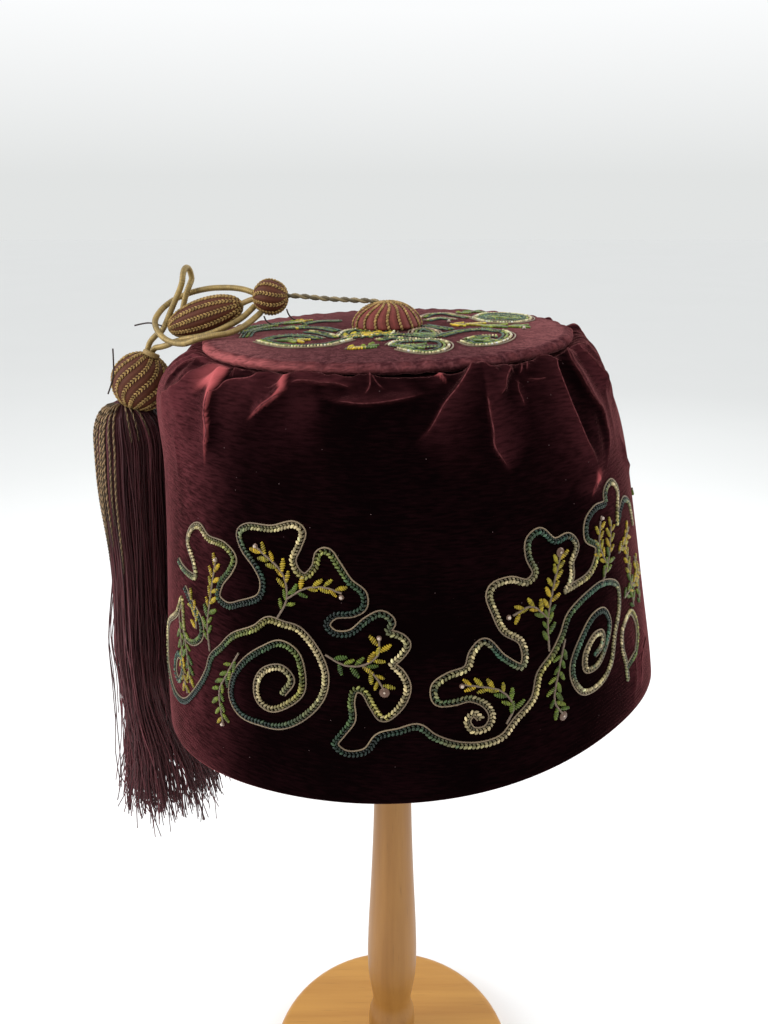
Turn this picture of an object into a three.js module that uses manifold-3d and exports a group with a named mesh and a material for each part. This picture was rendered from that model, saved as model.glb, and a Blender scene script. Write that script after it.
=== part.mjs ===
// Smoking cap on a turned hat stand, in millimetres, +Z up.
// The origin is the centre of the stand's underside, and the front of the cap faces -Y.
// A bearing is an angle in degrees round the cap: 0 at the front, positive towards +X.
import * as THREE from "three";
import { mergeVertices } from "three/addons/utils/BufferGeometryUtils.js";
import Module from "manifold-3d";

// Clearance between two pieces that touch
const SEAT_GAP = 0.3;
// Steps round each turned piece
const ROUND_STEPS = { base: 56, post: 24, head: 32, tip: 60, button: 28, tassel: 20 };

// Stand: a round foot, a turned post and a plain domed head inside the cap
const BASE_RADIUS = 56;
const BASE_THICKNESS = 16;
const BASE_EDGE = 4;
const BASE_FOOT_BEVEL = 1;
const HEAD_RADIUS = 38;
const HEAD_EDGE_THICKNESS = 10;
const HEAD_DOME_RISE = 8;
// Post profile, heights measured from the top of the foot
const POST_PROFILE = [
  { height: 0, radius: 10.8 },
  { height: 22, radius: 10.4 },
  { height: 25, radius: 9.6 },
  { height: 30, radius: 8.7 },
  { height: 36, radius: 9.4 },
  { height: 46, radius: 10.7 },
  { height: 57, radius: 11.1 },
  { height: 73, radius: 10.7 },
  { height: 107, radius: 9.1 },
  { height: 139, radius: 8.0 },
  { height: 220, radius: 7.2 },
];
const POST_TOP_RADIUS = 6.8;

// Cap: its rim centre in the part's frame, and the lean of its axis towards -X
const RIM_CENTRE = new THREE.Vector3(5.2, 0, 224.2);
const CAP_LEAN = 3.38;
// The rim's plane is slanted: it sits higher at the front and at the right
const RIM_RISE_FRONT = 6.3;
const RIM_RISE_RIGHT = 4.3;

// Top: a domed disc with a rolled edge, a little tilted on the cap's axis
const TIP_RADIUS = 63.2;
const TIP_THICKNESS = 2.6;
const TIP_DOME = 1.5;
const TIP_ROLL = 3.2;
const TIP_HEIGHT = 132.1;
const TIP_TILT_ABOUT_X = -0.9;
const TIP_TILT_ABOUT_Y = 1.7;
const BUTTON_RADIUS = 12;
const BUTTON_HEIGHT = 8.5;
const BUTTON_TUCK = 0.8;

// Side wall: outer profile from the rim up to the seam under the top's edge
const WALL_THICKNESS = 2;
const WALL_PROFILE = [
  { height: 0, radius: 92.4 },
  { height: 22, radius: 90.8 },
  { height: 48, radius: 87.8 },
  { height: 72, radius: 84.6 },
  { height: 94, radius: 81.6 },
  { height: 109, radius: 79.6 },
  { height: 118, radius: 77.4 },
  { height: 124, radius: 73.8 },
  { height: 127.6, radius: 69.4 },
  { height: 129.0, radius: 64.8 },
  { height: 129.0, radius: 60.0 },
];
const WALL_STEPS_ROUND = 96;
// Rows of the wall's grid, as shares of the profile from the rim (0) to the seam (1)
const WALL_ROWS = [0, 0.2, 0.38, 0.52, 0.61, 0.68, 0.74, 0.8, 0.85, 0.89, 0.93, 0.966, 1];
// The shoulder is full on the left and slack on the right by this much
const SHOULDER_FULLNESS = 2.6;
const SHOULDER_HEIGHT = 117;
const SHOULDER_SPREAD = 15;

// Gathers: each fold starts at a bearing on the seam and runs down to a bearing at its foot.
// reach is its length down the wall, rise its height, spread its half width in degrees.
// A fold begins FOLD_START below the seam, is whole at FOLD_FULL and fades over its lower part.
// Between the folds the cloth lies deeper by FOLD_BED.
const FOLD_START = 4;
const FOLD_FULL = 9;
const FOLD_FADE_FROM = 0.35;
const FOLD_BED = 1;
const FOLD_BED_REACH = 40;
const GATHERS = [
  { seam: -86, foot: -78, reach: 36, rise: 3.0, spread: 6 },
  { seam: -69, foot: -46, reach: 40, rise: 3.4, spread: 6 },
  { seam: -52, foot: -60, reach: 24, rise: 2.2, spread: 4 },
  { seam: -42, foot: -46, reach: 24, rise: 2.6, spread: 4 },
  { seam: -15, foot: -36, reach: 34, rise: 3.6, spread: 5 },
  { seam: 25, foot: 3, reach: 38, rise: 4.4, spread: 5 },
  { seam: 34, foot: 20, reach: 24, rise: 3.0, spread: 4 },
  { seam: 22, foot: 26, reach: 48, rise: 2.6, spread: 4 },
  { seam: 44, foot: 38, reach: 28, rise: 2.6, spread: 4 },
  { seam: 53, foot: 51, reach: 60, rise: 3.4, spread: 5 },
  { seam: 63, foot: 62, reach: 48, rise: 3.2, spread: 4 },
  { seam: 74, foot: 76, reach: 32, rise: 3.8, spread: 4 },
  { seam: 86, foot: 92, reach: 38, rise: 3.2, spread: 5 },
  { seam: 101, foot: 98, reach: 30, rise: 3.0, spread: 5 },
  { seam: 116, foot: 124, reach: 42, rise: 3.6, spread: 5 },
  { seam: 131, foot: 129, reach: 28, rise: 2.8, spread: 5 },
  { seam: 145, foot: 152, reach: 46, rise: 3.6, spread: 5 },
  { seam: 161, foot: 160, reach: 30, rise: 3.0, spread: 5 },
  { seam: 177, foot: 170, reach: 40, rise: 3.6, spread: 5 },
  { seam: 192, foot: 195, reach: 28, rise: 2.8, spread: 5 },
  { seam: 207, foot: 200, reach: 44, rise: 3.6, spread: 5 },
  { seam: 223, foot: 226, reach: 32, rise: 3.0, spread: 5 },
  { seam: 238, foot: 233, reach: 38, rise: 3.2, spread: 5 },
  { seam: 254, foot: 258, reach: 30, rise: 2.8, spread: 5 },
];
// Creases across the gathers where the cloth sags under the seam
const SAGS = [
  { bearing: -5, spread: 17, drop: 11, width: 3.5, depth: 1.6 },
  { bearing: 155, spread: 15, drop: 14, width: 4, depth: 1.2 },
];

// Knobs on the cord
const BALL_CENTRE = new THREE.Vector3(-43.3, 4.5, 367.3);
const BALL_RADIUS = 6;
const OVAL_CENTRE = new THREE.Vector3(-67, 7, 360.2);
const OVAL_AXIS = new THREE.Vector3(0.949, -0.034, 0.318);
const OVAL_HALF_LENGTH = 14;
const OVAL_RADIUS = 6.2;

// Cords: diameters and routes in the part's frame
const TWIST_DIAMETER = 1.8;
const GOLD_DIAMETER = 2.1;
const CORD_SIDES = 8;
const CORD_STEP = 1.5;
// from the crown of the button, level, to the ball knob
const TWIST_ROUTE = [
  [-3.6, 0, 367.8],
  [-8, 0.3, 367.7],
  [-12, 0.7, 367.5],
  [-16, 1.1, 367.3],
  [-20, 1.6, 367.3],
  [-24, 2.1, 367.4],
  [-28, 2.6, 367.5],
  [-32, 3.2, 367.6],
  [-34.6, 3.6, 367.6],
  [-37, 4, 367.6],
];
// from the ball knob behind the oval knob, round its left end and back along the cap's edge
const RING_ROUTE = [
  [-49.4, 6, 368.6],
  [-52.4, 7.4, 369.4],
  [-56, 9, 369.8],
  [-61, 11.2, 369.7],
  [-66.2, 13, 369.2],
  [-73.4, 14, 367.5],
  [-79.4, 13, 365],
  [-83.2, 10, 362],
  [-84.6, 5.5, 358.8],
  [-82.6, 1, 355.6],
  [-78.6, -3, 353.4],
  [-72.6, -6.6, 352.9],
  [-67, -9, 354.9],
  [-61.6, -10, 356.2],
  [-56.6, -9, 356.9],
  [-52.6, -6, 358.2],
  [-49.2, -1.4, 360.2],
  [-46.6, 1.7, 362.3],
];
// from the ball knob over the cap's edge to the top of the tassel
const HANG_ROUTE = [
  [-49, 4, 364.2],
  [-50.6, 2.7, 362.7],
  [-52.6, 1, 361],
  [-55, -0.6, 359.5],
  [-57.8, -2, 358.2],
  [-60.6, -2.8, 357],
  [-63.6, -3, 355.9],
  [-66.6, -2.7, 355],
  [-69.8, -2, 354.3],
  [-72.6, -0.7, 353.7],
  [-75.4, 1, 352.8],
  [-78.3, 3, 351.7],
  [-81, 5, 350.4],
  [-83.8, 7.2, 349.4],
  [-86.4, 8.9, 348.6],
  [-88.2, 9.7, 346.4],
];
// from behind the oval knob up in a narrow loop, down past its left end to the tassel
const UPRIGHT_ROUTE = [
  [-75.8, 11, 362],
  [-75.2, 11.4, 364],
  [-74, 11, 366.6],
  [-72, 10.4, 370.4],
  [-70.3, 9.8, 373.6],
  [-70, 9.6, 375.6],
  [-71, 9.5, 377.1],
  [-72.8, 9.4, 377.1],
  [-74.2, 9.3, 375.4],
  [-75.6, 9.2, 371.6],
  [-77.6, 9, 366.4],
  [-79.6, 8.6, 361.6],
  [-81.4, 8.2, 357.8],
  [-83.4, 9, 354.8],
  [-86.2, 11, 352.8],
  [-88.9, 12.4, 350],
  [-90.2, 12.5, 346.9],
];

// Tassel: it hangs beside the cap, its local +X pointing away from the wall
const TASSEL_CENTRE = new THREE.Vector3(-92.6, 10, 336.2);
const TASSEL_TURN = 174.3;
const TASSEL_HEAD_RADIUS = 10.6;
const TASSEL_HEAD_FLAT = 5.5;
const TASSEL_HEAD_FOOT = -9;
// Skirt sections: drop below the head, shift away from the wall, half sizes across it and along it
const SKIRT_SECTIONS = [
  { drop: 0, out: 0.5, thick: 8, wide: 8.5 },
  { drop: 9, out: 5.2, thick: 13.2, wide: 15 },
  { drop: 28, out: 5.4, thick: 12.8, wide: 18.5 },
  { drop: 60, out: 5.8, thick: 11.6, wide: 20 },
  { drop: 97, out: 8.2, thick: 11.7, wide: 20.5 },
  { drop: 117, out: 7.8, thick: 11.6, wide: 20.5 },
  { drop: 141, out: 4.6, thick: 15.4, wide: 21 },
  { drop: 168, out: 2.8, thick: 20, wide: 21.5 },
  { drop: 185, out: 3, thick: 20, wide: 21 },
];
const LOCK_COUNT = 14;
const LOCK_SIDES = 6;
const LOCK_SHARE = 0.3;
const LOCK_TIP_SHARE = 0.12;
const LOCK_LENGTH_SPREAD = 9;
const LOCK_RHYTHM = 2.4;
const CORE_SHARE = 0.78;
const CORE_SIDES = 14;
const CORE_END = 168;

function finish(color, roughness, metalness = 0) {
  return new THREE.MeshStandardMaterial({ color, roughness, metalness });
}

const VELVET = finish(0x3a0f16, 0.95);
const TIP_VELVET = finish(0x43161b, 0.95);
const BRICK_CORD = finish(0x7d2a24, 0.8);
const GOLD_CORD = finish(0x9a7640, 0.55, 0.2);
const BROWN_CORD = finish(0x5a2a22, 0.75);
const MAROON_THREAD = finish(0x3b141a, 0.85);
const BASE_WOOD = finish(0xd9a455, 0.5);
const POST_WOOD = finish(0xc08a4a, 0.5);

const MERGE_DISTANCE = 1e-4;
const smooth = THREE.MathUtils.smoothstep;
const radians = THREE.MathUtils.degToRad;

// A named mesh of one piece.
function piece(name, geometry, material) {
  const mesh = new THREE.Mesh(geometry, material);
  mesh.name = name;
  return mesh;
}

// A body turned about Z from rows of [radius, height], going up the outside from the axis to the axis.
function turned(rows, segments) {
  const profile = rows.map(([radius, height]) => new THREE.Vector2(radius, height));
  return new THREE.LatheGeometry(profile, segments).rotateX(Math.PI / 2);
}

// A closed body from a grid of points: rows of equal length, each row a closed loop.
// Its ends are joined to each other, or each is closed by a fan.
function closedGrid(rows, joinEnds) {
  const across = rows[0].length;
  const points = rows.flat();
  const index = [];
  const last = joinEnds ? rows.length : rows.length - 1;
  for (let i = 0; i < last; i++) {
    const next = (i + 1) % rows.length;
    for (let j = 0; j < across; j++) {
      const k = (j + 1) % across;
      const [a, b] = [i * across + j, i * across + k];
      const [c, d] = [next * across + j, next * across + k];
      index.push(a, b, c, b, d, c);
    }
  }
  if (!joinEnds) {
    for (const [row, turn] of [[0, 1], [rows.length - 1, 0]]) {
      const middle = rows[row].reduce((sum, p) => sum.add(p), new THREE.Vector3()).divideScalar(across);
      points.push(middle);
      for (let j = 0; j < across; j++) {
        const pair = [row * across + j, row * across + ((j + 1) % across)];
        index.push(points.length - 1, pair[turn], pair[1 - turn]);
      }
    }
  }
  return new THREE.BufferGeometry().setFromPoints(points).setIndex(index);
}

// A tube along a smooth route.
function cordTube(route, diameter) {
  const path = new THREE.CatmullRomCurve3(route.map((p) => new THREE.Vector3(...p)));
  const section = new THREE.Shape();
  section.absarc(0, 0, diameter / 2, 0, 2 * Math.PI, false);
  const steps = Math.ceil(path.getLength() / (CORD_STEP * diameter));
  // an arc is divided into twice as many parts as curveSegments says
  return new THREE.ExtrudeGeometry(section, {
    steps,
    curveSegments: CORD_SIDES / 2,
    extrudePath: path,
    bevelEnabled: false,
  });
}

const wasm = await Module();
wasm.setup();

// Several overlapping closed geometries joined into one.
function fuse(geometries) {
  const solids = geometries.map((geometry) => {
    const bare = geometry.clone();
    bare.deleteAttribute("normal");
    bare.deleteAttribute("uv");
    const merged = mergeVertices(bare, MERGE_DISTANCE);
    const vertProperties = merged.attributes.position.array;
    const triVerts = new Uint32Array(merged.index.array);
    return new wasm.Manifold(new wasm.Mesh({ numProp: 3, vertProperties, triVerts }));
  });
  const joined = solids.reduce((sum, solid) => sum.add(solid)).getMesh();
  return new THREE.BufferGeometry()
    .setAttribute("position", new THREE.BufferAttribute(joined.vertProperties, 3))
    .setIndex(new THREE.BufferAttribute(joined.triVerts, 1));
}

// Stand

function standBase() {
  const [edge, top] = [BASE_EDGE, BASE_THICKNESS];
  const rows = [[0, 0], [BASE_RADIUS - BASE_FOOT_BEVEL, 0], [BASE_RADIUS, BASE_FOOT_BEVEL]];
  rows.push([BASE_RADIUS, top - edge]);
  for (const turn of [30, 60, 90]) {
    const angle = radians(turn);
    rows.push([BASE_RADIUS - edge * (1 - Math.cos(angle)), top - edge * (1 - Math.sin(angle))]);
  }
  rows.push([0, top]);
  return turned(rows, ROUND_STEPS.base);
}

function standPost(top) {
  const foot = BASE_THICKNESS + SEAT_GAP;
  const rows = POST_PROFILE.map((row) => [row.radius, foot + row.height]);
  return turned([[0, foot], ...rows, [POST_TOP_RADIUS, top], [0, top]], ROUND_STEPS.post);
}

function standHead(top) {
  const edge = top - HEAD_DOME_RISE;
  const rows = [[0, edge - HEAD_EDGE_THICKNESS], [HEAD_RADIUS, edge - HEAD_EDGE_THICKNESS]];
  for (const share of [1, 0.75, 0.45, 0]) {
    rows.push([HEAD_RADIUS * share, top - HEAD_DOME_RISE * share * share]);
  }
  return turned(rows, ROUND_STEPS.head);
}

// Cap

// Height of the gathers at a bearing, a distance down the wall from the seam.
function foldHeight(bearing, down) {
  const begun = smooth(down, FOLD_START, FOLD_FULL);
  let height = -FOLD_BED * begun * (1 - smooth(down, FOLD_FULL, FOLD_BED_REACH));
  for (const fold of GATHERS) {
    const share = down / fold.reach;
    const middle = fold.seam + (fold.foot - fold.seam) * Math.min(share, 1);
    const off = (((bearing - middle) % 360) + 540) % 360 - 180;
    const fade = begun * (1 - smooth(share, FOLD_FADE_FROM, 1));
    height += fold.rise * fade * Math.exp(-((off / fold.spread) ** 2));
  }
  for (const sag of SAGS) {
    const off = (bearing - sag.bearing) / sag.spread;
    const across = (down - sag.drop) / sag.width;
    height -= sag.depth * Math.exp(-(off ** 2) - across ** 2);
  }
  return height;
}

// The wall: for each bearing, the inner line from rim to seam and the outer line back.
function crownSide() {
  const curve = new THREE.SplineCurve(WALL_PROFILE.map((row) => new THREE.Vector2(row.radius, row.height)));
  const length = curve.getLength();
  const seamHeight = WALL_PROFILE.at(-1).height;
  const tiltFront = TIP_RADIUS * Math.sin(radians(-TIP_TILT_ABOUT_X));
  const tiltRight = TIP_RADIUS * Math.sin(radians(-TIP_TILT_ABOUT_Y));
  const sections = [];
  for (let i = 0; i < WALL_STEPS_ROUND; i++) {
    const bearing = (360 * i) / WALL_STEPS_ROUND;
    const [right, front] = [Math.sin(radians(bearing)), Math.cos(radians(bearing))];
    const outer = [];
    const inner = [];
    for (const share of WALL_ROWS) {
      const on = curve.getPointAt(share);
      const along = curve.getTangentAt(share);
      const down = length * (1 - share);
      const lift = foldHeight(bearing, down);
      const bulge = Math.exp(-(((on.y - SHOULDER_HEIGHT) / SHOULDER_SPREAD) ** 2));
      const full = -SHOULDER_FULLNESS * right * bulge * smooth(down, FOLD_START, FOLD_FULL);
      const seamward = smooth(on.y, 0, seamHeight);
      const slant = RIM_RISE_FRONT * front + RIM_RISE_RIGHT * right;
      const tilt = tiltFront * front + tiltRight * right;
      const rise = THREE.MathUtils.lerp(slant, tilt, seamward);
      for (const [line, offset] of [[outer, lift], [inner, lift - WALL_THICKNESS]]) {
        const radius = on.x + along.y * offset + full;
        line.push(new THREE.Vector3(radius * right, -radius * front, on.y - along.x * offset + rise));
      }
    }
    sections.push([...inner, ...outer.reverse()]);
  }
  return closedGrid(sections, true);
}

function crownTip() {
  const top = (radius) => TIP_DOME * (1 - (radius / TIP_RADIUS) ** 2);
  const roll = TIP_RADIUS - TIP_ROLL;
  const shares = [0, 0.4, 0.72, 1];
  const rows = shares.map((share) => [roll * share, top(roll * share) - TIP_THICKNESS]);
  for (const turn of [-60, -15, 25, 60]) {
    const radius = roll + TIP_ROLL * Math.cos(radians(turn));
    rows.push([radius, (TIP_THICKNESS / 2) * (Math.sin(radians(turn)) - 1)]);
  }
  rows.push(...shares.toReversed().map((share) => [roll * share, top(roll * share)]));
  return turned(rows, ROUND_STEPS.tip);
}

function tipButton() {
  const rows = [[0, 0], [BUTTON_RADIUS - BUTTON_TUCK, 0]];
  for (const turn of [8, 28, 48, 66, 80]) {
    rows.push([BUTTON_RADIUS * Math.cos(radians(turn)), BUTTON_HEIGHT * Math.sin(radians(turn))]);
  }
  rows.push([0, BUTTON_HEIGHT]);
  return turned(rows, ROUND_STEPS.button);
}

// Tassel

function tasselHead() {
  const rows = [[0, TASSEL_HEAD_FOOT], [TASSEL_HEAD_FLAT, TASSEL_HEAD_FOOT]];
  for (const turn of [-40, -20, 0, 22, 44, 66]) {
    rows.push([TASSEL_HEAD_RADIUS * Math.cos(radians(turn)), TASSEL_HEAD_RADIUS * Math.sin(radians(turn))]);
  }
  rows.push([0, TASSEL_HEAD_RADIUS]);
  return turned(rows, ROUND_STEPS.tassel);
}

// A skirt section at a drop, between the two rows of the table that it lies in.
function skirtSection(drop) {
  const next = Math.max(1, SKIRT_SECTIONS.findIndex((row) => row.drop >= drop));
  const [above, below] = [SKIRT_SECTIONS[next - 1], SKIRT_SECTIONS[next]];
  const share = (drop - above.drop) / (below.drop - above.drop);
  const between = (key) => THREE.MathUtils.lerp(above[key], below[key], share);
  return { out: between("out"), thick: between("thick"), wide: between("wide") };
}

// A loop of points round a middle, in the order that faces outwards when the loops go down.
function loop(sides, x, y, z, halfX, halfY) {
  return Array.from({ length: sides }, (_, j) => {
    const angle = (-2 * Math.PI * j) / sides;
    return new THREE.Vector3(x + halfX * Math.cos(angle), y + halfY * Math.sin(angle), z);
  });
}

// The skirt hangs as locks round a core; its top is at local z 0.
function tasselSkirt() {
  const drops = SKIRT_SECTIONS.map((row) => row.drop);
  const end = drops.at(-1);
  const coreRows = drops.filter((drop) => drop <= CORE_END).map((drop) => {
    const { out, thick, wide } = skirtSection(drop);
    return loop(CORE_SIDES, out, 0, -drop, thick * CORE_SHARE, wide * CORE_SHARE);
  });
  const bodies = [closedGrid(coreRows, false)];
  for (let i = 0; i < LOCK_COUNT; i++) {
    const angle = (2 * Math.PI * (i + 0.5)) / LOCK_COUNT;
    const length = end - LOCK_LENGTH_SPREAD * (0.5 + 0.5 * Math.sin(LOCK_RHYTHM * i));
    const rows = drops.map((drop) => {
      const { out, thick, wide } = skirtSection(drop);
      const share = drop === end ? LOCK_TIP_SHARE : LOCK_SHARE;
      const half = (share * (thick + wide)) / 2;
      const x = out + (thick - half) * Math.cos(angle);
      const y = (wide - half) * Math.sin(angle);
      return loop(LOCK_SIDES, x, y, (-drop * length) / end, half, half);
    });
    bodies.push(closedGrid(rows, false));
  }
  return fuse(bodies);
}

// Assembly

const stand = new THREE.Group();
const tipSeat = TIP_HEIGHT + TIP_DOME - TIP_THICKNESS;
// the dome touches the tilted top beside its highest point, so its gap there is a little more
const headGap = 1.5 * SEAT_GAP;
const headTop = RIM_CENTRE.z + tipSeat * Math.cos(radians(CAP_LEAN)) - headGap;
const headUnder = headTop - HEAD_DOME_RISE - HEAD_EDGE_THICKNESS;
stand.add(piece("stand_base", standBase(), BASE_WOOD));
stand.add(piece("stand_post", standPost(headUnder - SEAT_GAP), POST_WOOD));
stand.add(piece("stand_head", standHead(headTop), POST_WOOD));

const top = new THREE.Group();
top.position.z = TIP_HEIGHT;
top.rotation.set(radians(TIP_TILT_ABOUT_X), radians(TIP_TILT_ABOUT_Y), 0);
const button = piece("tip_button", tipButton(), BRICK_CORD);
button.position.z = TIP_DOME + SEAT_GAP;
top.add(piece("crown_tip", crownTip(), TIP_VELVET), button);

const cap = new THREE.Group();
cap.position.copy(RIM_CENTRE);
cap.rotation.y = -radians(CAP_LEAN);
cap.add(piece("crown_side", crownSide(), VELVET), top);

const cords = new THREE.Group();
cords.add(piece("cord_twist", cordTube(TWIST_ROUTE, TWIST_DIAMETER), GOLD_CORD));
cords.add(piece("cord_ring", cordTube(RING_ROUTE, GOLD_DIAMETER), GOLD_CORD));
cords.add(piece("cord_hang", cordTube(HANG_ROUTE, GOLD_DIAMETER), GOLD_CORD));
cords.add(piece("cord_upright", cordTube(UPRIGHT_ROUTE, GOLD_DIAMETER), GOLD_CORD));
const ball = piece("knob_ball", new THREE.SphereGeometry(BALL_RADIUS, 16, 10), BROWN_CORD);
ball.position.copy(BALL_CENTRE);
const oval = piece("knob_oval", new THREE.SphereGeometry(1, 16, 12), BROWN_CORD);
oval.scale.set(OVAL_RADIUS, OVAL_HALF_LENGTH, OVAL_RADIUS);
oval.quaternion.setFromUnitVectors(new THREE.Vector3(0, 1, 0), OVAL_AXIS.clone().normalize());
oval.position.copy(OVAL_CENTRE);
cords.add(ball, oval);

const tassel = new THREE.Group();
tassel.position.copy(TASSEL_CENTRE);
tassel.rotation.z = radians(TASSEL_TURN);
const skirt = piece("tassel_skirt", tasselSkirt(), MAROON_THREAD);
skirt.position.z = TASSEL_HEAD_FOOT - SEAT_GAP;
tassel.add(piece("tassel_head", tasselHead(), BROWN_CORD), skirt);

const smokingCap = new THREE.Group();
smokingCap.add(stand, cap, cords, tassel);
export default smokingCap;
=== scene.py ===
"""Smoking cap on a plain hat stand: the visual model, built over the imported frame."""

import logging
import math
from collections.abc import Sequence
from dataclasses import dataclass
from enum import Enum

import bpy
import numpy as np
from mathutils import Matrix


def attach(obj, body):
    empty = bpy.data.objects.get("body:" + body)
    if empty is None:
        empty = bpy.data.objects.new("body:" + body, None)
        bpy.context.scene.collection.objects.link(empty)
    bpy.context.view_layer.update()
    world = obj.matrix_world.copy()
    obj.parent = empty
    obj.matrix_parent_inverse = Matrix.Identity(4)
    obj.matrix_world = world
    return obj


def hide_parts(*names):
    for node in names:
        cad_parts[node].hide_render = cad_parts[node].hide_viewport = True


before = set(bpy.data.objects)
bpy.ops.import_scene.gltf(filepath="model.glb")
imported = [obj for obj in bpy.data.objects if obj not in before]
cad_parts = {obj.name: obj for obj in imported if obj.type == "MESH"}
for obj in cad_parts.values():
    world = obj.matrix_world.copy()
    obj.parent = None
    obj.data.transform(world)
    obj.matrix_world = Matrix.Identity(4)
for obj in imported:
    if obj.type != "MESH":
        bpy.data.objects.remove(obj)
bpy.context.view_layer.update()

log = logging.getLogger("smoking_cap")

Array = np.ndarray
Chance = np.random.Generator
Point = tuple[float, float, float]
Colour = tuple[float, float, float]
Pixel = tuple[float, float]
Span = tuple[float, float]
Tint = Sequence[float] | Array
Piece = bpy.types.Object
Material = bpy.types.Material
Socket = bpy.types.NodeSocket
Source = Socket | Colour | float
Amount = Array | float

MM = 0.001
SEED = 1870
WHITE = (1.0, 1.0, 1.0)
BLACK = (0.0, 0.0, 0.0)
TINY = 1e-9
WAVE_SPAN = (0.0, 6.28)
STITCH_FACETS = (5, 4)
THIN_SIDES = 6


# Curves and frames


def smooth(value: Array, low: float, high: float) -> Array:
    """Smooth step of a value, from 0 at low to 1 at high."""
    share = np.clip((np.asarray(value, float) - low) / (high - low), 0.0, 1.0)
    return share * share * (3.0 - 2.0 * share)


def unit(vectors: Array) -> Array:
    """Vectors scaled to length one along the last axis."""
    vectors = np.asarray(vectors, float)
    return vectors / np.maximum(np.linalg.norm(vectors, axis=-1, keepdims=True), TINY)


def signed(degrees: Array) -> Array:
    """Angles brought to between -180 and 180 degrees."""
    return np.mod(degrees + 180.0, 360.0) - 180.0


def ring_angles(count: int) -> Array:
    """Angles of evenly spaced points round a ring."""
    return np.arange(count) * math.tau / count


def around(angle: Array, first: Array, second: Array) -> Array:
    """Directions at angles in the plane of two sides."""
    return np.cos(angle)[..., None] * first + np.sin(angle)[..., None] * second


def walk(points: Array) -> Array:
    """Distances walked along a polyline to each of its points."""
    return np.concatenate([[0.0], np.cumsum(np.linalg.norm(np.diff(points, axis=0), axis=1))])


def beside(path: Array) -> Array:
    """Directions square to a flat path, on its left."""
    heading = unit(np.gradient(path, axis=0))
    return np.stack([-heading[:, 1], heading[:, 0]], axis=1)


def rotation(axis: str, degrees: float) -> Array:
    """Rotation about one axis.

    Args:
        axis: "x", "y" or "z".
        degrees: Angle of the turn.

    Returns:
        The 3 by 3 matrix.
    """
    cosine, sine = math.cos(math.radians(degrees)), math.sin(math.radians(degrees))
    first, second = {"x": (1, 2), "y": (2, 0), "z": (0, 1)}[axis]
    matrix = np.eye(3)
    matrix[first, first] = matrix[second, second] = cosine
    matrix[first, second], matrix[second, first] = -sine, sine
    return matrix


def axes_along(axis: Sequence[float]) -> Array:
    """Axes built round a given one.

    Args:
        axis: The third of them, of any length.

    Returns:
        Matrix with the axes as columns, square to each other.
    """
    along = unit(np.asarray(axis, float))
    helper = np.array((0.0, 1.0, 0.0)) if abs(along[1]) < 0.9 else np.array((1.0, 0.0, 0.0))
    across = unit(np.cross(helper, along))
    return np.stack([across, np.cross(along, across), along], axis=1)


def cubic(start: Array, end: Array, leave: Array, arrive: Array, share: Array) -> Array:
    """Points of a cubic between two points.

    Args:
        start: First point.
        end: Last point.
        leave: Slope at the first point.
        arrive: Slope at the last point.
        share: Shares of the way, as a column.

    Returns:
        One point for each share.
    """
    third = 2 * (start - end) + leave + arrive
    second = 3 * (end - start) - 2 * leave - arrive
    return third * share**3 + second * share**2 + leave * share + start


def spline(points: Sequence[Sequence[float]], step: float, dense: int = 16) -> Array:
    """Evenly spaced points along a centripetal Catmull-Rom curve.

    Args:
        points: The points that the curve goes through, in any number of dimensions.
        step: Spacing of the points that are returned.
        dense: Points worked out for each stretch before they are spaced evenly.

    Returns:
        Points along the curve, from its first point to its last.
    """
    p = np.asarray(points, float)
    p = np.vstack([2 * p[0] - p[1], p, 2 * p[-1] - p[-2]])
    gaps = np.maximum(np.linalg.norm(np.diff(p, axis=0), axis=1), 1e-6) ** 0.5
    share = np.linspace(0.0, 1.0, dense, endpoint=False)[:, None]
    stretches = []
    for i in range(1, len(p) - 2):
        a, b, c, d = p[i - 1 : i + 3]
        da, db, dc = gaps[i - 1 : i + 2]
        leave = ((b - a) / da - (c - a) / (da + db) + (c - b) / db) * db
        arrive = ((c - b) / db - (d - b) / (db + dc) + (d - c) / dc) * db
        stretches.append(cubic(b, c, leave, arrive, share))
    curve = np.concatenate([*stretches, p[-2:-1]])
    walked = walk(curve)
    at = np.linspace(0.0, walked[-1], max(2, int(round(walked[-1] / step)) + 1))
    return np.stack([np.interp(at, walked, column) for column in curve.T], axis=1)


def frames(path: Array) -> tuple[Array, Array]:
    """Two side vectors that are carried along a path without twist.

    Args:
        path: Points along the path.

    Returns:
        First sides and second sides, each as long as the path.
    """
    tangents = unit(np.gradient(path, axis=0))
    sides = np.empty_like(path)
    sides[0] = axes_along(tangents[0])[:, 0]
    for i in range(1, len(path)):
        moved = sides[i - 1] - tangents[i] * np.dot(sides[i - 1], tangents[i])
        sides[i] = moved / max(float(np.linalg.norm(moved)), TINY)
    return sides, np.cross(tangents, sides)


def ball(sides: int, rows: int) -> tuple[Array, Array]:
    """Ball of radius one, with its poles on the first axis.

    Args:
        sides: Points in each ring.
        rows: Bands of faces from pole to pole.

    Returns:
        The points, and the faces as three point numbers each.
    """
    ring = np.linspace(0.0, math.pi, rows + 1)[1:-1, None]
    angles = ring_angles(sides)
    belts = np.broadcast_arrays(np.cos(ring), np.sin(ring) * np.cos(angles), np.sin(ring) * np.sin(angles))
    points = np.vstack([(1.0, 0.0, 0.0), np.stack(belts, axis=-1).reshape(-1, 3), (-1.0, 0.0, 0.0)])
    faces = []
    last = len(points) - 1
    bottom = last - sides
    for j in range(sides):
        k = (j + 1) % sides
        faces.append((0, 1 + j, 1 + k))
        for upper in range(1, bottom, sides):
            lower = upper + sides
            faces += [(upper + j, lower + j, lower + k), (upper + j, lower + k, upper + k)]
        faces.append((bottom + j, last, bottom + k))
    return points, np.array(faces)


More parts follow.
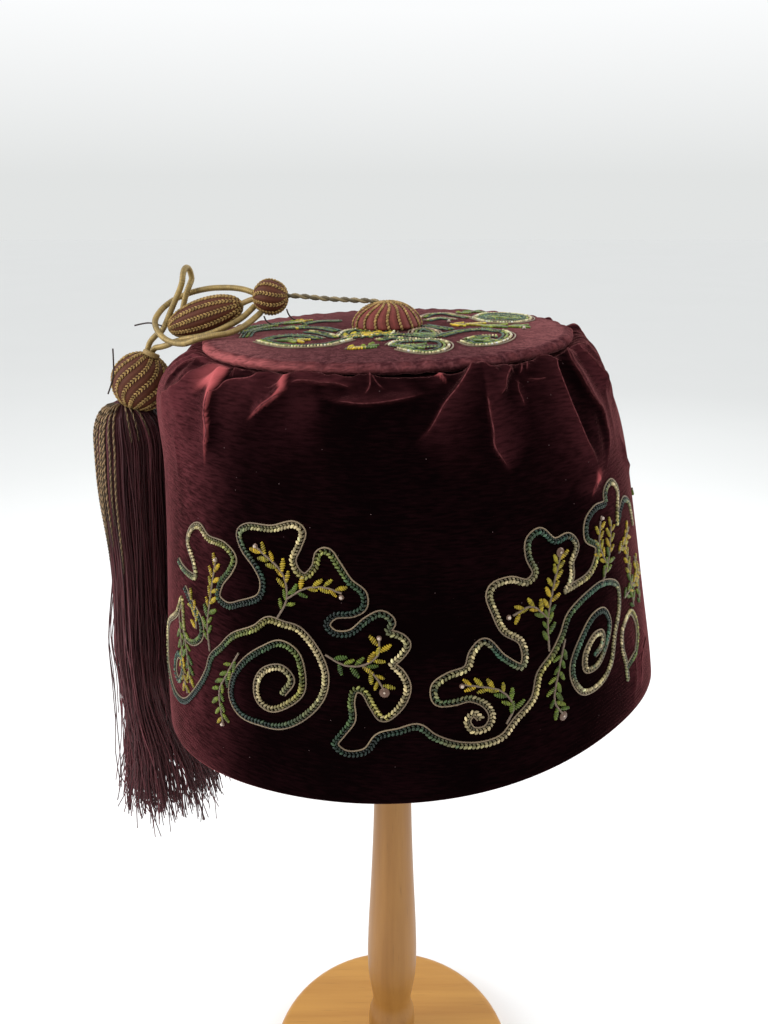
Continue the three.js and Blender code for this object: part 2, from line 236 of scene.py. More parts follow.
class Draft:
    """Mesh in the making: points in millimetres, faces and a tint at each point."""

    def __init__(self) -> None:
        """Starts an empty mesh."""
        self.points: list[Array] = []
        self.tints: list[Array] = []
        self.faces: list[Array] = []
        self.count = 0

    def add(self, points: Array, faces: Array, tint: Tint = WHITE) -> None:
        """Adds points with the faces between them.

        Args:
            points: Places in millimetres.
            faces: Point numbers of each face, counted from the first of these points.
            tint: One colour, or one for each point.
        """
        points = np.asarray(points, float).reshape(-1, 3)
        self.points.append(points)
        self.tints.append(np.broadcast_to(np.asarray(tint, float), points.shape))
        self.faces.append(np.asarray(faces, int) + self.count)
        self.count += len(points)

    def grid(self, rows: Array, tint: Tint = WHITE, close: bool = False) -> None:
        """Adds a surface whose rows are closed loops.

        Args:
            rows: Points as an array of rows, points in a row, and three numbers.
            tint: One colour, or one for each point.
            close: Whether the last row is joined to the first.
        """
        count, across = rows.shape[:2]
        index = np.arange(count * across).reshape(count, across)
        upper = index if close else index[:-1]
        lower = np.roll(index, -1, axis=0) if close else index[1:]
        quads = np.stack([upper, np.roll(upper, -1, axis=1), np.roll(lower, -1, axis=1), lower], axis=-1)
        tint = np.asarray(tint, float)
        self.add(rows, quads.reshape(-1, 4), tint.reshape(-1, 3) if tint.ndim == 3 else tint)

    def cap(self, ring: Array, tint: Tint = WHITE) -> None:
        """Closes a loop with a fan of triangles.

        Args:
            ring: Points of the loop.
            tint: Its colour.
        """
        count = len(ring)
        step = np.arange(count)
        fan = np.stack([np.full(count, count), step, (step + 1) % count], axis=1)
        self.add(np.vstack([ring, ring.mean(axis=0)]), fan, tint)

    def solid(self, rows: Array, tint: Tint = WHITE, ends: tuple[Tint, Tint] = (WHITE, WHITE)) -> None:
        """Adds a surface of closed loops with both its ends closed.

        Args:
            rows: Points as an array of rows, points in a row, and three numbers.
            tint: One colour, or one for each point.
            ends: Colours of the two ends.
        """
        self.grid(rows, tint)
        self.cap(rows[0][::-1], ends[0])
        self.cap(rows[-1], ends[1])

    def tube(self, path: Array, radius: Amount, sides: int, tint: Tint, swell: Amount = 1.0) -> None:
        """Adds a closed tube round a path.

        Args:
            path: Points along the middle.
            radius: One radius, or one for each point.
            sides: Points in each ring.
            tint: One colour, or one for each point of the path.
            swell: Factor on the radius, or one for each ring and side.
        """
        first, second = frames(path)
        spokes = around(ring_angles(sides)[None], first[:, None], second[:, None])
        reach = np.broadcast_to(np.asarray(radius, float), (len(path),))[:, None] * swell
        shades = np.broadcast_to(np.asarray(tint, float), (len(path), 3))
        rows = path[:, None] + reach[..., None] * spokes
        self.solid(rows, np.repeat(shades[:, None], sides, axis=1), (shades[0], shades[-1]))

    def copies(self, shape: tuple[Array, Array], matrices: Array, places: Array, tints: Tint) -> None:
        """Adds copies of a shape.

        Args:
            shape: Its points and faces.
            matrices: One 3 by 3 matrix for each copy.
            places: One place for each copy.
            tints: One colour, or one for each copy.
        """
        points, faces = shape
        placed = np.einsum("nij,kj->nki", matrices, points) + places[:, None]
        numbers = faces[None] + (np.arange(len(places)) * len(points))[:, None, None]
        tints = np.broadcast_to(np.asarray(tints, float), (len(places), 3))
        self.add(placed, numbers.reshape(-1, faces.shape[1]), np.repeat(tints, len(points), axis=0))

    def stitches(self, places: Array, along: Array, normals: Array, half: Sequence, tints: Array) -> None:
        """Adds stitches as small drawn-out balls.

        Args:
            places: Middle of each stitch.
            along: Direction of its thread.
            normals: Direction out of its ground.
            half: Half sizes along, across and out, each for all the stitches or as a column.
            tints: One colour for each stitch.
        """
        sides = (along, np.cross(normals, along), normals)
        matrices = np.stack([side * size for side, size in zip(sides, half)], axis=2)
        self.copies(ball(*STITCH_FACETS), matrices, places, tints)

    def build(self, name: str, material: Material) -> Piece:
        """Makes the mesh object, smooth shaded, in metres.

        Args:
            name: Name of the piece.
            material: Its only material.

        Returns:
            The object, linked to the scene and riding with the only body.
        """
        mesh = bpy.data.meshes.new(name)
        points = np.concatenate(self.points) * MM
        loops = np.concatenate([faces.ravel() for faces in self.faces])
        totals = np.concatenate([np.full(len(faces), faces.shape[1]) for faces in self.faces])
        mesh.vertices.add(len(points))
        mesh.vertices.foreach_set("co", points.ravel())
        mesh.loops.add(len(loops))
        mesh.loops.foreach_set("vertex_index", loops)
        mesh.polygons.add(len(totals))
        mesh.polygons.foreach_set("loop_start", np.cumsum(totals) - totals)
        tints = np.hstack([np.concatenate(self.tints), np.ones((len(points), 1))])
        layer = mesh.color_attributes.new("tint", "FLOAT_COLOR", "POINT")
        layer.data.foreach_set("color", tints.ravel())
        mesh.update(calc_edges=True)
        mesh.validate()
        mesh.shade_smooth()
        mesh.materials.append(material)
        piece = bpy.data.objects.new(name, mesh)
        bpy.context.scene.collection.objects.link(piece)
        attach(piece, "root")
        return piece


# Finishes


class Palette:
    """Node tree of a material or of the surroundings, with short ways to add to it."""

    def __init__(self, owner: Material | bpy.types.World, shader: str = "Principled BSDF") -> None:
        """Takes up the owner's node tree.

        Args:
            owner: The material or the surroundings.
            shader: Name of the node whose inputs are set.
        """
        owner.use_nodes = True
        self.tree = owner.node_tree
        self.shader = self.tree.nodes[shader]

    def feed(self, socket: Socket, source: Source) -> None:
        """Gives an input its source.

        Args:
            socket: The input.
            source: An output socket to link, or a plain value to set.
        """
        if isinstance(source, bpy.types.NodeSocket):
            self.tree.links.new(source, socket)
        else:
            socket.default_value = (*source, 1.0) if socket.type == "RGBA" else source

    def node(self, kind: str, inputs: dict | None = None, **settings: str) -> bpy.types.Node:
        """Adds a node.

        Args:
            kind: The node's type name.
            inputs: Sources by the name or number of the input.
            **settings: The node's own settings.

        Returns:
            The node.
        """
        node = self.tree.nodes.new(kind)
        for key, value in settings.items():
            setattr(node, key, value)
        for key, source in (inputs or {}).items():
            self.feed(node.inputs[key], source)
        return node

    def set(self, **inputs: Source) -> None:
        """Sets or links inputs of the shader, named in lower case with underscores."""
        sockets = {socket.name.lower().replace(" ", "_"): socket for socket in self.shader.inputs}
        for key, source in inputs.items():
            self.feed(sockets[key], source)

    def place(self, stretch: Point = WHITE) -> Socket:
        """Object coordinates in metres, stretched by three factors."""
        place = self.node("ShaderNodeTexCoord").outputs["Object"]
        return self.node("ShaderNodeMapping", {"Vector": place, "Scale": stretch}).outputs["Vector"]

    def noise(self, place: Socket, scale: float, detail: float = 3.0) -> Socket:
        """Noise from 0 to 1 at a scale per metre."""
        inputs = {"Vector": place, "Scale": scale, "Detail": detail, "Roughness": 0.55}
        return self.node("ShaderNodeTexNoise", inputs).outputs["Fac"]

    def reckon(self, first: Socket, second: Source, kind: str = "MULTIPLY") -> Socket:
        """Value reckoned from two others, their product if no other way is named."""
        return self.node("ShaderNodeMath", {0: first, 1: second}, operation=kind).outputs[0]

    def span(self, value: Socket, low: float, high: float, least: float = 0.0, most: float = 1.0) -> Socket:
        """Value brought from the span between low and high to the span between least and most."""
        limits = {"From Min": low, "From Max": high, "To Min": least, "To Max": most}
        return self.node("ShaderNodeMapRange", {"Value": value, **limits}).outputs[0]

    def mix(self, share: Source, low: Source, high: Source, kind: str = "MIX") -> Socket:
        """Mixes two colours by a share."""
        inputs = {"Factor": share, 6: low, 7: high}
        return self.node("ShaderNodeMix", inputs, data_type="RGBA", blend_type=kind).outputs[2]

    def tint(self) -> Socket:
        """The mesh's own tint at each point."""
        return self.node("ShaderNodeVertexColor", layer_name="tint").outputs["Color"]

    def bump(self, height: Socket, distance: float, strength: float) -> None:
        """Links a height, scaled to a distance in metres, to the shader's normal."""
        inputs = {"Height": height, "Distance": distance, "Strength": strength}
        self.set(normal=self.node("ShaderNodeBump", inputs).outputs["Normal"])


@dataclass(frozen=True)
class Velvet:
    """Cut-pile velvet: dark from the front, with a red sheen at its edges and crests.

    The mesh's tint paints a highlight on its crests, partly worn pile (red), painted light on its left and
    right sides (green) and painted light on the pile beside its crests (blue).
    """

    name: str
    deep: Colour
    worn: Colour
    # Colour of the painted highlight on the crests, partly worn pile.
    crest: Colour
    sheen: Colour
    sheen_weight: float
    # Colour of the painted light on the sides.
    painted_side_light: Colour = (0.105, 0.026, 0.031)
    # Colour of the painted light on the pile beside the crests.
    facet: Colour = (0.082, 0.0195, 0.0235)
    lint: Colour = (0.2, 0.13, 0.13)
    patch_scale: float = 38.0
    line_scale: float = 1500.0
    line_stretch: Point = (0.16, 0.16, 1.0)
    worn_span: Span = (0.2, 0.42)
    side_light_span: Point = (0.13, 0.36, 0.15)
    facet_span: Point = (0.12, 0.34, 0.35)
    lint_scale: float = 230.0
    lint_span: Span = (0.034, 0.014)
    weave_period: float = 0.0007
    weave_share: float = 0.3
    pile_scale: float = 2600.0
    pile_depth: float = 0.00022

    def make(self) -> Material:
        """Dresses a material with patches of laid pile, painted highlights on worn crests, painted light on
        its sides and beside its crests, weave lines and specks of lint.

        Returns:
            The material.
        """
        material = bpy.data.materials.new(self.name)
        p = Palette(material)
        place = p.place()
        patches = p.noise(place, self.patch_scale, 4.0)
        laid = p.reckon(patches, p.noise(p.place(self.line_stretch), self.line_scale, 2.0))
        marks = p.node("ShaderNodeSeparateColor", {"Color": p.tint()}).outputs
        base = p.mix(p.span(laid, *self.worn_span), self.deep, self.worn)
        # Painted light on the sides (green), broken up by the laid pile.
        base = p.mix(p.reckon(p.span(laid, *self.side_light_span), marks["Green"]), base, self.painted_side_light)
        # Painted light on the pile beside the crests (blue).
        base = p.mix(p.reckon(p.span(laid, *self.facet_span), marks["Blue"]), base, self.facet)
        # Painted highlight on the crests, partly worn pile (red).
        base = p.mix(marks["Red"], base, self.crest)
        specks = p.node("ShaderNodeTexVoronoi", {"Vector": place, "Scale": self.lint_scale}, feature="F1")
        base = p.mix(p.span(specks.outputs[0], *self.lint_span), base, self.lint)
        scale = 1.0 / self.weave_period / math.tau
        lines = {"Vector": place, "Scale": scale, "Distortion": 1.5, "Detail": 1.0}
        weave = p.node("ShaderNodeTexWave", lines, bands_direction="Z").outputs["Fac"]
        pile = p.noise(place, self.pile_scale, 2.0)
        p.bump(p.reckon(pile, p.reckon(weave, self.weave_share), "ADD"), self.pile_depth, 0.7)
        p.set(base_color=base, roughness=0.95, specular_ior_level=0.0)
        p.set(sheen_weight=self.sheen_weight, sheen_tint=self.sheen, sheen_roughness=0.2)
        return material


@dataclass(frozen=True)
class Wood:
    """Turned wood with a satin coat, its grain drawn out along one direction."""

    name: str
    pale: Colour
    dark: Colour
    stretch: Point
    grain_scale: float = 160.0
    grain_stops: Point = (0.3, 0.5, 0.72)
    pore_scale: float = 1120.0
    pore_span: tuple[float, ...] = (0.62, 0.75, 0.0, 0.35)
    pore_depth: float = 0.00006
    pore_shade: float = 0.55
    wear_scale: float = 30.0
    roughness: Span = (0.34, 0.52)

    def make(self) -> Material:
        """Dresses a material with long grain, fine pores and slight wear of the coat.

        Returns:
            The material.
        """
        material = bpy.data.materials.new(self.name)
        p = Palette(material)
        place = p.place(self.stretch)
        ramp = p.node("ShaderNodeValToRGB", {"Fac": p.noise(place, self.grain_scale, 5.0)})
        middle = tuple((a + b) / 2 for a, b in zip(self.pale, self.dark))
        stops = ramp.color_ramp.elements
        stops.new(0.5)
        for stop, at, colour in zip(stops, self.grain_stops, (self.dark, middle, self.pale)):
            stop.position = at
            stop.color = (*colour, 1.0)
        pores = p.noise(place, self.pore_scale, 2.0)
        pore = tuple(self.pore_shade * c for c in self.dark)
        p.set(base_color=p.mix(p.span(pores, *self.pore_span), ramp.outputs["Color"], pore))
        p.set(roughness=p.span(p.noise(p.place(), self.wear_scale), 0.0, 1.0, *self.roughness))
        p.bump(pores, self.pore_depth, 0.5)
        p.set(coat_weight=0.15, coat_roughness=0.28, specular_ior_level=0.3)
        return material


@dataclass(frozen=True)
class Thread:
    """Thread, gimp or stitch whose colour is the mesh's tint."""

    name: str
    roughness: float = 0.55
    metallic: float = 0.0
    sheen: float = 0.3
    sheen_tint: Colour = (1.0, 0.9, 0.75)
    specular: float = 0.5
    unevenness: float = 0.35
    dye_scale: float = 900.0
    fibre_scale: float = 3800.0
    fibre_depth: float = 0.00008

    def make(self) -> Material:
        """Dresses a material with uneven dye and fine fibres.

        Returns:
            The material.
        """
        material = bpy.data.materials.new(self.name)
        p = Palette(material)
        place = p.place()
        uneven = p.noise(place, self.dye_scale)
        shade = p.span(uneven, 0.0, 1.0, 1.0 - self.unevenness, 1.0 + self.unevenness)
        value = p.node("ShaderNodeCombineColor", {channel: shade for channel in range(3)}).outputs[0]
        p.set(base_color=p.mix(1.0, p.tint(), value, "MULTIPLY"), roughness=self.roughness)
        p.bump(p.noise(place, self.fibre_scale, 2.0), self.fibre_depth, 0.6)
        p.set(metallic=self.metallic, specular_ior_level=self.specular)
        p.set(sheen_weight=self.sheen, sheen_tint=self.sheen_tint, sheen_roughness=0.4)
        return material


@dataclass(frozen=True)
class Paper:
    """Pale matt studio floor, with painted shade that greys it away from the middle."""

    name: str = "studio_floor"
    colour: Colour = (0.94, 0.94, 0.94)
    shaded_far_colour: Colour = (0.765, 0.775, 0.77)
    grey_span: Span = (0.42, 1.15)
    uneven_scale: float = 4.0
    darker: float = 0.97

    def make(self) -> Material:
        """Dresses a material with a faint unevenness.

        Returns:
            The material.
        """
        material = bpy.data.materials.new(self.name)
        p = Palette(material)
        place = p.place()
        # Painted shade: greyer away from the middle.
        away = p.node("ShaderNodeVectorMath", {0: place}, operation="LENGTH").outputs["Value"]
        limits = {"Value": away, "From Min": self.grey_span[0], "From Max": self.grey_span[1]}
        share = p.node("ShaderNodeMapRange", limits, interpolation_type="SMOOTHSTEP").outputs[0]
        colours = (self.colour, self.shaded_far_colour)
        darker = p.mix(share, *(tuple(self.darker * c for c in colour) for colour in colours))
        uneven = p.noise(place, self.uneven_scale)
        p.set(base_color=p.mix(uneven, darker, p.mix(share, *colours)), roughness=0.8)
        return material


# Studio


@dataclass
class Studio:
    """Camera at the photograph's angle, plain pale floor and soft light."""

    eye: Point = (-3.7, -316.0, 407.0)
    pitch: float = 20.5
    focal_pixels: float = 900.0
    photo_size: Pixel = (768.0, 1024.0)
    sensor: float = 36.0
    clip: Span = (0.01, 100.0)
    floor_half: float = 6000.0
    world_colour: Colour = (0.97, 0.98, 0.985)
    horizon_colour: Colour = (0.76, 0.775, 0.77)
    horizon_rise: float = 0.15
    lamp_target: Point = (0.0, 0.0, 0.28)
    lamps: tuple[tuple[str, Point, float, float], ...] = (
        ("lamp_left", (-0.9, -0.25, 0.75), 0.7, 7.0),
        ("lamp_back", (0.2, 1.0, 0.9), 1.0, 2.0),
        ("lamp_right", (0.9, 0.1, 0.6), 0.6, 3.0),
    )

    def camera(self) -> None:
        """Adds the camera, without depth of field."""
        data = bpy.data.cameras.new("camera")
        data.sensor_width = self.sensor
        data.lens = self.focal_pixels / max(self.photo_size) * self.sensor
        data.clip_start, data.clip_end = self.clip
        data.dof.use_dof = False
        camera = bpy.data.objects.new("camera", data)
        camera.location = [MM * x for x in self.eye]
        camera.rotation_euler = (math.radians(90.0 - self.pitch), 0.0, 0.0)
        bpy.context.scene.collection.objects.link(camera)
        bpy.context.scene.camera = camera

    def rays(self, pixels: Sequence[Pixel]) -> tuple[Array, Array]:
        """Start and directions of the rays through pixels of the photograph.

        Args:
            pixels: Pixel coordinates, across and down.

        Returns:
            The eye in millimetres, and one direction for each pixel.
        """
        spots = np.asarray(pixels, float)
        across, down = ((spots - np.array(self.photo_size) / 2) / self.focal_pixels).T
        ways = np.stack([across, -down, -np.ones(len(spots))], axis=1)
        return np.array(self.eye), ways @ rotation("x", 90.0 - self.pitch).T

    def floor(self) -> None:
        """Adds the floor."""
        half = self.floor_half * MM
        mesh = bpy.data.meshes.new("studio_floor")
        corners = [(-half, -half, 0.0), (half, -half, 0.0), (half, half, 0.0), (-half, half, 0.0)]
        mesh.from_pydata(corners, [], [(0, 1, 2, 3)])
        mesh.materials.append(Paper().make())
        floor = bpy.data.objects.new("studio_floor", mesh)
        bpy.context.scene.collection.objects.link(floor)

    def light(self) -> None:
        """Sets the pale surroundings and adds soft square lamps, their places and sizes in metres."""
        scene = bpy.context.scene
        scene.view_settings.view_transform = "Standard"
        scene.world = bpy.data.worlds.new("studio")
        sky = Palette(scene.world, "Background")
        way = sky.node("ShaderNodeTexCoord").outputs["Generated"]
        level = sky.node("ShaderNodeSeparateXYZ", {0: way}).outputs["Z"]
        share = sky.span(level, 0.0, self.horizon_rise)
        sky.set(color=sky.mix(share, self.horizon_colour, self.world_colour))
        for name, place, size, watts in self.lamps:
            data = bpy.data.lights.new(name, "AREA")
            data.size = size
            data.energy = watts
            lamp = bpy.data.objects.new(name, data)
            lamp.location = place
            axes = axes_along(np.subtract(place, self.lamp_target))
            lamp.rotation_euler = Matrix(axes.tolist()).to_euler()
            scene.collection.objects.link(lamp)


# Stand


class Grain(Enum):
    """Which way the grain of a turned piece runs."""

    UPRIGHT = (1.0, 1.0, 0.05)
    LEVEL = (0.05, 1.0, 1.0)


@dataclass
class Stand:
    """Plain wooden hat stand: round foot, turned post and a hidden domed head."""

    seat_gap: float = 0.3
    axis_radius: float = 0.5
    base_radius: float = 56.0
    base_thickness: float = 16.0
    base_edge: float = 4.0
    base_rings: Point = (0.8, 0.5, 0.2)
    foot_bevel: float = 1.0
    head_radius: float = 38.0
    head_edge: float = 10.0
    head_rise: float = 8.0
    head_top: float = 354.52
    head_hole: float = 0.02
    post_top_radius: float = 6.8
    turning_steps: int = 72
    curve_steps: int = 12
    post_step: float = 1.5
    post_profile: tuple[Span, ...] = (
        (0, 10.8), (22, 10.4), (25, 9.6), (30, 8.7), (36, 9.4), (46, 10.7),
        (57, 11.1), (73, 10.7), (107, 9.1), (139, 8.0), (220, 7.2),
    )

    def turned(self, name: str, line: Array, finish: Wood) -> Piece:
        """Piece turned about the stand's axis.

        Args:
            name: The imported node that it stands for.
            line: Radius and height of the profile, from the axis up the outside to the axis.
            finish: Its wood.

        Returns:
            The piece.
        """
        angles = ring_angles(self.turning_steps)
        sides = (line[:, :1] * np.cos(angles), line[:, :1] * np.sin(angles), line[:, 1:])
        draft = Draft()
        draft.solid(np.stack(np.broadcast_arrays(*sides), axis=-1))
        piece = draft.build(f"{name}_wood", finish.make())
        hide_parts(name)
        return piece

    def base_line(self) -> Array:
        """Profile of the foot, with an eased upper edge.

        Returns:
            Radius and height of each point.
        """
        middle, radius, top = self.axis_radius, self.base_radius, self.base_thickness
        angle = np.radians(np.linspace(0, 90, self.curve_steps))
        ease = self.base_edge * (1 - np.stack([np.cos(angle), np.sin(angle)], axis=1))
        under = [(middle, 0.0), (radius - self.foot_bevel, 0.0), (radius, self.foot_bevel)]
        over = [(radius * share, top) for share in self.base_rings]
        return np.vstack([under, np.array((radius, top)) - ease, over, (middle, top)])

    def post_line(self) -> Array:
        """Profile of the post, smoothed between its turned sizes.

        Returns:
            Radius and height of each point.
        """
        foot = self.base_thickness + self.seat_gap
        top = self.head_top - self.head_rise - self.head_edge - self.seat_gap
        side = spline([(radius, height + foot) for height, radius in self.post_profile], self.post_step)
        ends = [(self.post_top_radius, top), (self.axis_radius, top)]
        return np.vstack([(self.axis_radius, foot), side, ends])

    def head_line(self) -> Array:
        """Profile of the hidden head.

        Returns:
            Radius and height of each point.
        """
        foot = self.head_top - self.head_rise - self.head_edge
        share = np.linspace(1.0, self.head_hole, self.curve_steps)
        dome = np.stack([self.head_radius * share, self.head_top - self.head_rise * share**2], axis=1)
        return np.vstack([(self.axis_radius, foot), (self.head_radius, foot), dome])

    def build(self) -> list[Piece]:
        """Turns the three wooden pieces.

        Returns:
            Foot, post and head.
        """
        base = Wood("base_wood", (0.50, 0.245, 0.045), (0.39, 0.17, 0.026), Grain.LEVEL.value)
        post = Wood("post_wood", (0.33, 0.155, 0.035), (0.24, 0.102, 0.019), Grain.UPRIGHT.value)
        return [
            self.turned("stand_base", self.base_line(), base),
            self.turned("stand_post", self.post_line(), post),
            self.turned("stand_head", self.head_line(), post),
        ]


# Cords


class Lay(Enum):
    """How a cord lies between its ends."""

    TAUT = "taut"
    LOOSE = "loose"
    HANGING = "hanging"


def plies(path: Array, walked: Array, pitch: float, reach: float) -> list[Array]:
    """Two plies turned round each other.

    Args:
        path: Points along their middle.
        walked: Distance along it at each point.
        pitch: Distance in which they turn once.
        reach: How far each one lies from the middle.

    Returns:
        The path of each ply.
    """
    first, second = frames(path)
    turn = walked / pitch * math.tau
    return [path + around(turn + ply * math.pi, first, second) * reach for ply in range(2)]


@dataclass
class Cords:
    """Twisted cord from the button to the ball knob, and three gold gimp cords."""

    twist_diameter: float = 1.8
    twist_step: float = 0.3
    twist_sides: int = 10
    ply_pitch: float = 7.0
    ply_reach: float = 0.24
    ply_radius: float = 0.29
    ply_wrap_pitch: float = 0.9
    ply_wrap_depth: float = 0.08
    # Lit and shaded copies of one grey-gold thread, one for each ply.
    ply_light_and_shade: Span = (0.6, 1.35)
    gold_diameter: float = 2.1
    gold_step: float = 0.19
    gold_sides: int = 12
    wrap_pitch: float = 0.75
    wrap_depth: float = 0.07
    wrap_hollow: float = 0.4
    gold: Colour = (0.30, 0.205, 0.066)
    grey_gold: Colour = (0.17, 0.128, 0.062)
    twist_route: tuple[Point, ...] = (
        (-3.4, 0, 365.6), (-6, 0.2, 366.2), (-9, 0.5, 366.5), (-13, 0.8, 366.6), (-17, 1.2, 366.8),
        (-21, 1.7, 366.9), (-26, 2.4, 367.2), (-31, 3.1, 367.6), (-34.6, 3.6, 367.8), (-37.4, 4, 367.8),
    )
    ring_route: tuple[Point, ...] = (
        (-49.4, 6, 368.6), (-52.4, 7.4, 369.4), (-56, 9, 369.8), (-61, 11.2, 369.7), (-66.2, 13, 369.2),
        (-73.4, 14, 367.5), (-79.4, 13, 365), (-83.2, 10, 362), (-84.6, 5.5, 358.8), (-82.6, 1, 355.6),
        (-78.6, -3, 353.4), (-72.6, -6.6, 352.9), (-67, -9, 354.9), (-61.6, -10, 356.2), (-56.6, -9, 356.9),
        (-52.6, -6, 358.2), (-49.2, -1.4, 360.2), (-46.6, 1.7, 362.3),
    )
    hang_route: tuple[Point, ...] = (
        (-49, 4, 364.2), (-50.6, 2.7, 362.7), (-52.6, 1, 361), (-55, -0.6, 359.5), (-57.8, -2, 358.2),
        (-60.6, -2.8, 357), (-63.6, -3, 355.9), (-66.6, -2.7, 355), (-69.8, -2, 354.3), (-72.6, -0.7, 353.7),
        (-75.4, 1, 352.8), (-78.3, 3, 351.7), (-81, 5, 350.4), (-83.8, 7.2, 349.4), (-86.4, 8.9, 348.6),
        (-88.2, 9.7, 346.4),
    )
    upright_route: tuple[Point, ...] = (
        (-75.8, 11, 362), (-75.2, 11.2, 364), (-74.4, 11.1, 366.6), (-73.6, 11.5, 368.8),
        (-72.8, 12.5, 370.8), (-72.3, 13.7, 372.5), (-72.4, 13.14, 374.63), (-72.65, 11.6, 376.18),
        (-73, 9.5, 376.75), (-73.35, 7.4, 376.18), (-73.61, 5.86, 374.63), (-73.9, 5.3, 372.5),
        (-74.9, 5.4, 369.9), (-77, 6.3, 366), (-79.4, 7.4, 361.6), (-81.4, 8.2, 357.8), (-83.4, 9, 354.8),
        (-86.2, 11, 352.8), (-88.9, 12.4, 350), (-90.2, 12.5, 346.9),
    )

    def declare(self, node: str, path: Array, diameter: float, lay: Lay) -> None:
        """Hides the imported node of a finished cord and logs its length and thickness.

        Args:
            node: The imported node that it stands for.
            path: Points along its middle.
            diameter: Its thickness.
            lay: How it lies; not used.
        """
        length = float(walk(path)[-1])
        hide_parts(node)
        log.info("%s: %.1f mm of cord, %.1f mm thick", node, length, diameter)

    def twisted(self) -> Piece:
        """Two plies turned round each other.

        Returns:
            The piece.
        """
        path = spline(self.twist_route, self.twist_step)
        walked = np.arange(len(path)) * self.twist_step
        wraps = 1 + self.ply_wrap_depth * np.cos(walked / self.ply_wrap_pitch * math.tau)
        radius = self.twist_diameter * self.ply_radius * wraps
        draft = Draft()
        middles = plies(path, walked, self.ply_pitch, self.twist_diameter * self.ply_reach)
        # Painted light and shade of the twist: one ply lighter, the other darker.
        for middle, shade in zip(middles, self.ply_light_and_shade):
            draft.tube(middle, radius, self.twist_sides, np.array(self.grey_gold) * shade)
        piece = draft.build("twist_plies", Thread("twist_thread", 0.5, 0.15).make())
        self.declare("cord_twist", path, self.twist_diameter, Lay.TAUT)
        return piece

    def gimp(self, name: str, node: str, route: Sequence[Point], lay: Lay, finish: Material) -> Piece:
        """Gold cord wrapped in a fine slanting thread.

        Args:
            name: Name of the piece.
            node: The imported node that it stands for.
            route: Points that it goes through.
            lay: How it lies.
            finish: Its material.

        Returns:
            The piece.
        """
        path = spline(route, self.gold_step)
        walked = np.arange(len(path)) * self.gold_step
        turns = walked[:, None] / self.wrap_pitch * math.tau + ring_angles(self.gold_sides)
        swell = 1.0 + self.wrap_depth * (np.cos(turns) - self.wrap_hollow)
        rng = np.random.default_rng(SEED + len(route))
        # Brighter and darker rings along the cord: uneven tone with painted glints of the metal thread.
        wear = 0.9 + 0.14 * np.sin(walked * 0.5) + rng.normal(0, 0.12, len(path))
        draft = Draft()
        draft.tube(path, self.gold_diameter / 2, self.gold_sides, np.array(self.gold) * wear[:, None], swell)
        piece = draft.build(name, finish)
        self.declare(node, path, self.gold_diameter, lay)
        return piece

    def build(self) -> list[Piece]:
        """Makes the four cords.

        Returns:
            The twisted cord, then the gold ones.
        """
        gold = Thread("gold_gimp", 0.42, 0.35, 0.15).make()
        return [
            self.twisted(),
            self.gimp("ring_gimp", "cord_ring", self.ring_route, Lay.LOOSE, gold),
            self.gimp("hang_gimp", "cord_hang", self.hang_route, Lay.HANGING, gold),
            self.gimp("upright_gimp", "cord_upright", self.upright_route, Lay.LOOSE, gold),
        ]


# Cap


@dataclass
class CapFrame:
    """Where the cap sits: its own axes, leaning on the stand."""

    rim_centre: Point = (5.2, 0.0, 224.2)
    lean: float = 3.38

    def to_world(self, points: Array) -> Array:
        """Points of the cap's own frame in the row frame."""
        return points @ rotation("y", -self.lean).T + np.array(self.rim_centre)

    def to_cap(self, points: Array) -> Array:
        """Points of the row frame in the cap's own frame."""
        return (points - np.array(self.rim_centre)) @ rotation("y", -self.lean)


@dataclass(frozen=True)
class Gather:
    """Ridge of gathered velvet: bearings at seam and foot, reach and rise in mm, spread in degrees."""

    seam: float
    foot: float
    reach: float
    rise: float
    spread: float


@dataclass(frozen=True)
class Sag:
    """Hollow in the velvet: its bearing and spread in degrees, the rest in mm."""

    bearing: float
    spread: float
    drop: float
    width: float
    depth: float


@dataclass(frozen=True)
class Crease:
    """Sharp crest read from the photograph: pixels along it, its rise and half width in mm.

    Its line is the brightness of the painted highlight along the crest. Its steep side is 1 or -1, or 0
    where both sides fall alike, and gets painted shade. Its facet is how much painted light falls on the pile
    beside it. Its patch is the reach of a painted highlight at its start.
    """

    pixels: tuple[Pixel, ...]
    rise: float = 1.6
    width: float = 2.0
    line: float = 0.5
    steep: float = 0.0
    facet: float = 0.3
    patch: float = 0.0


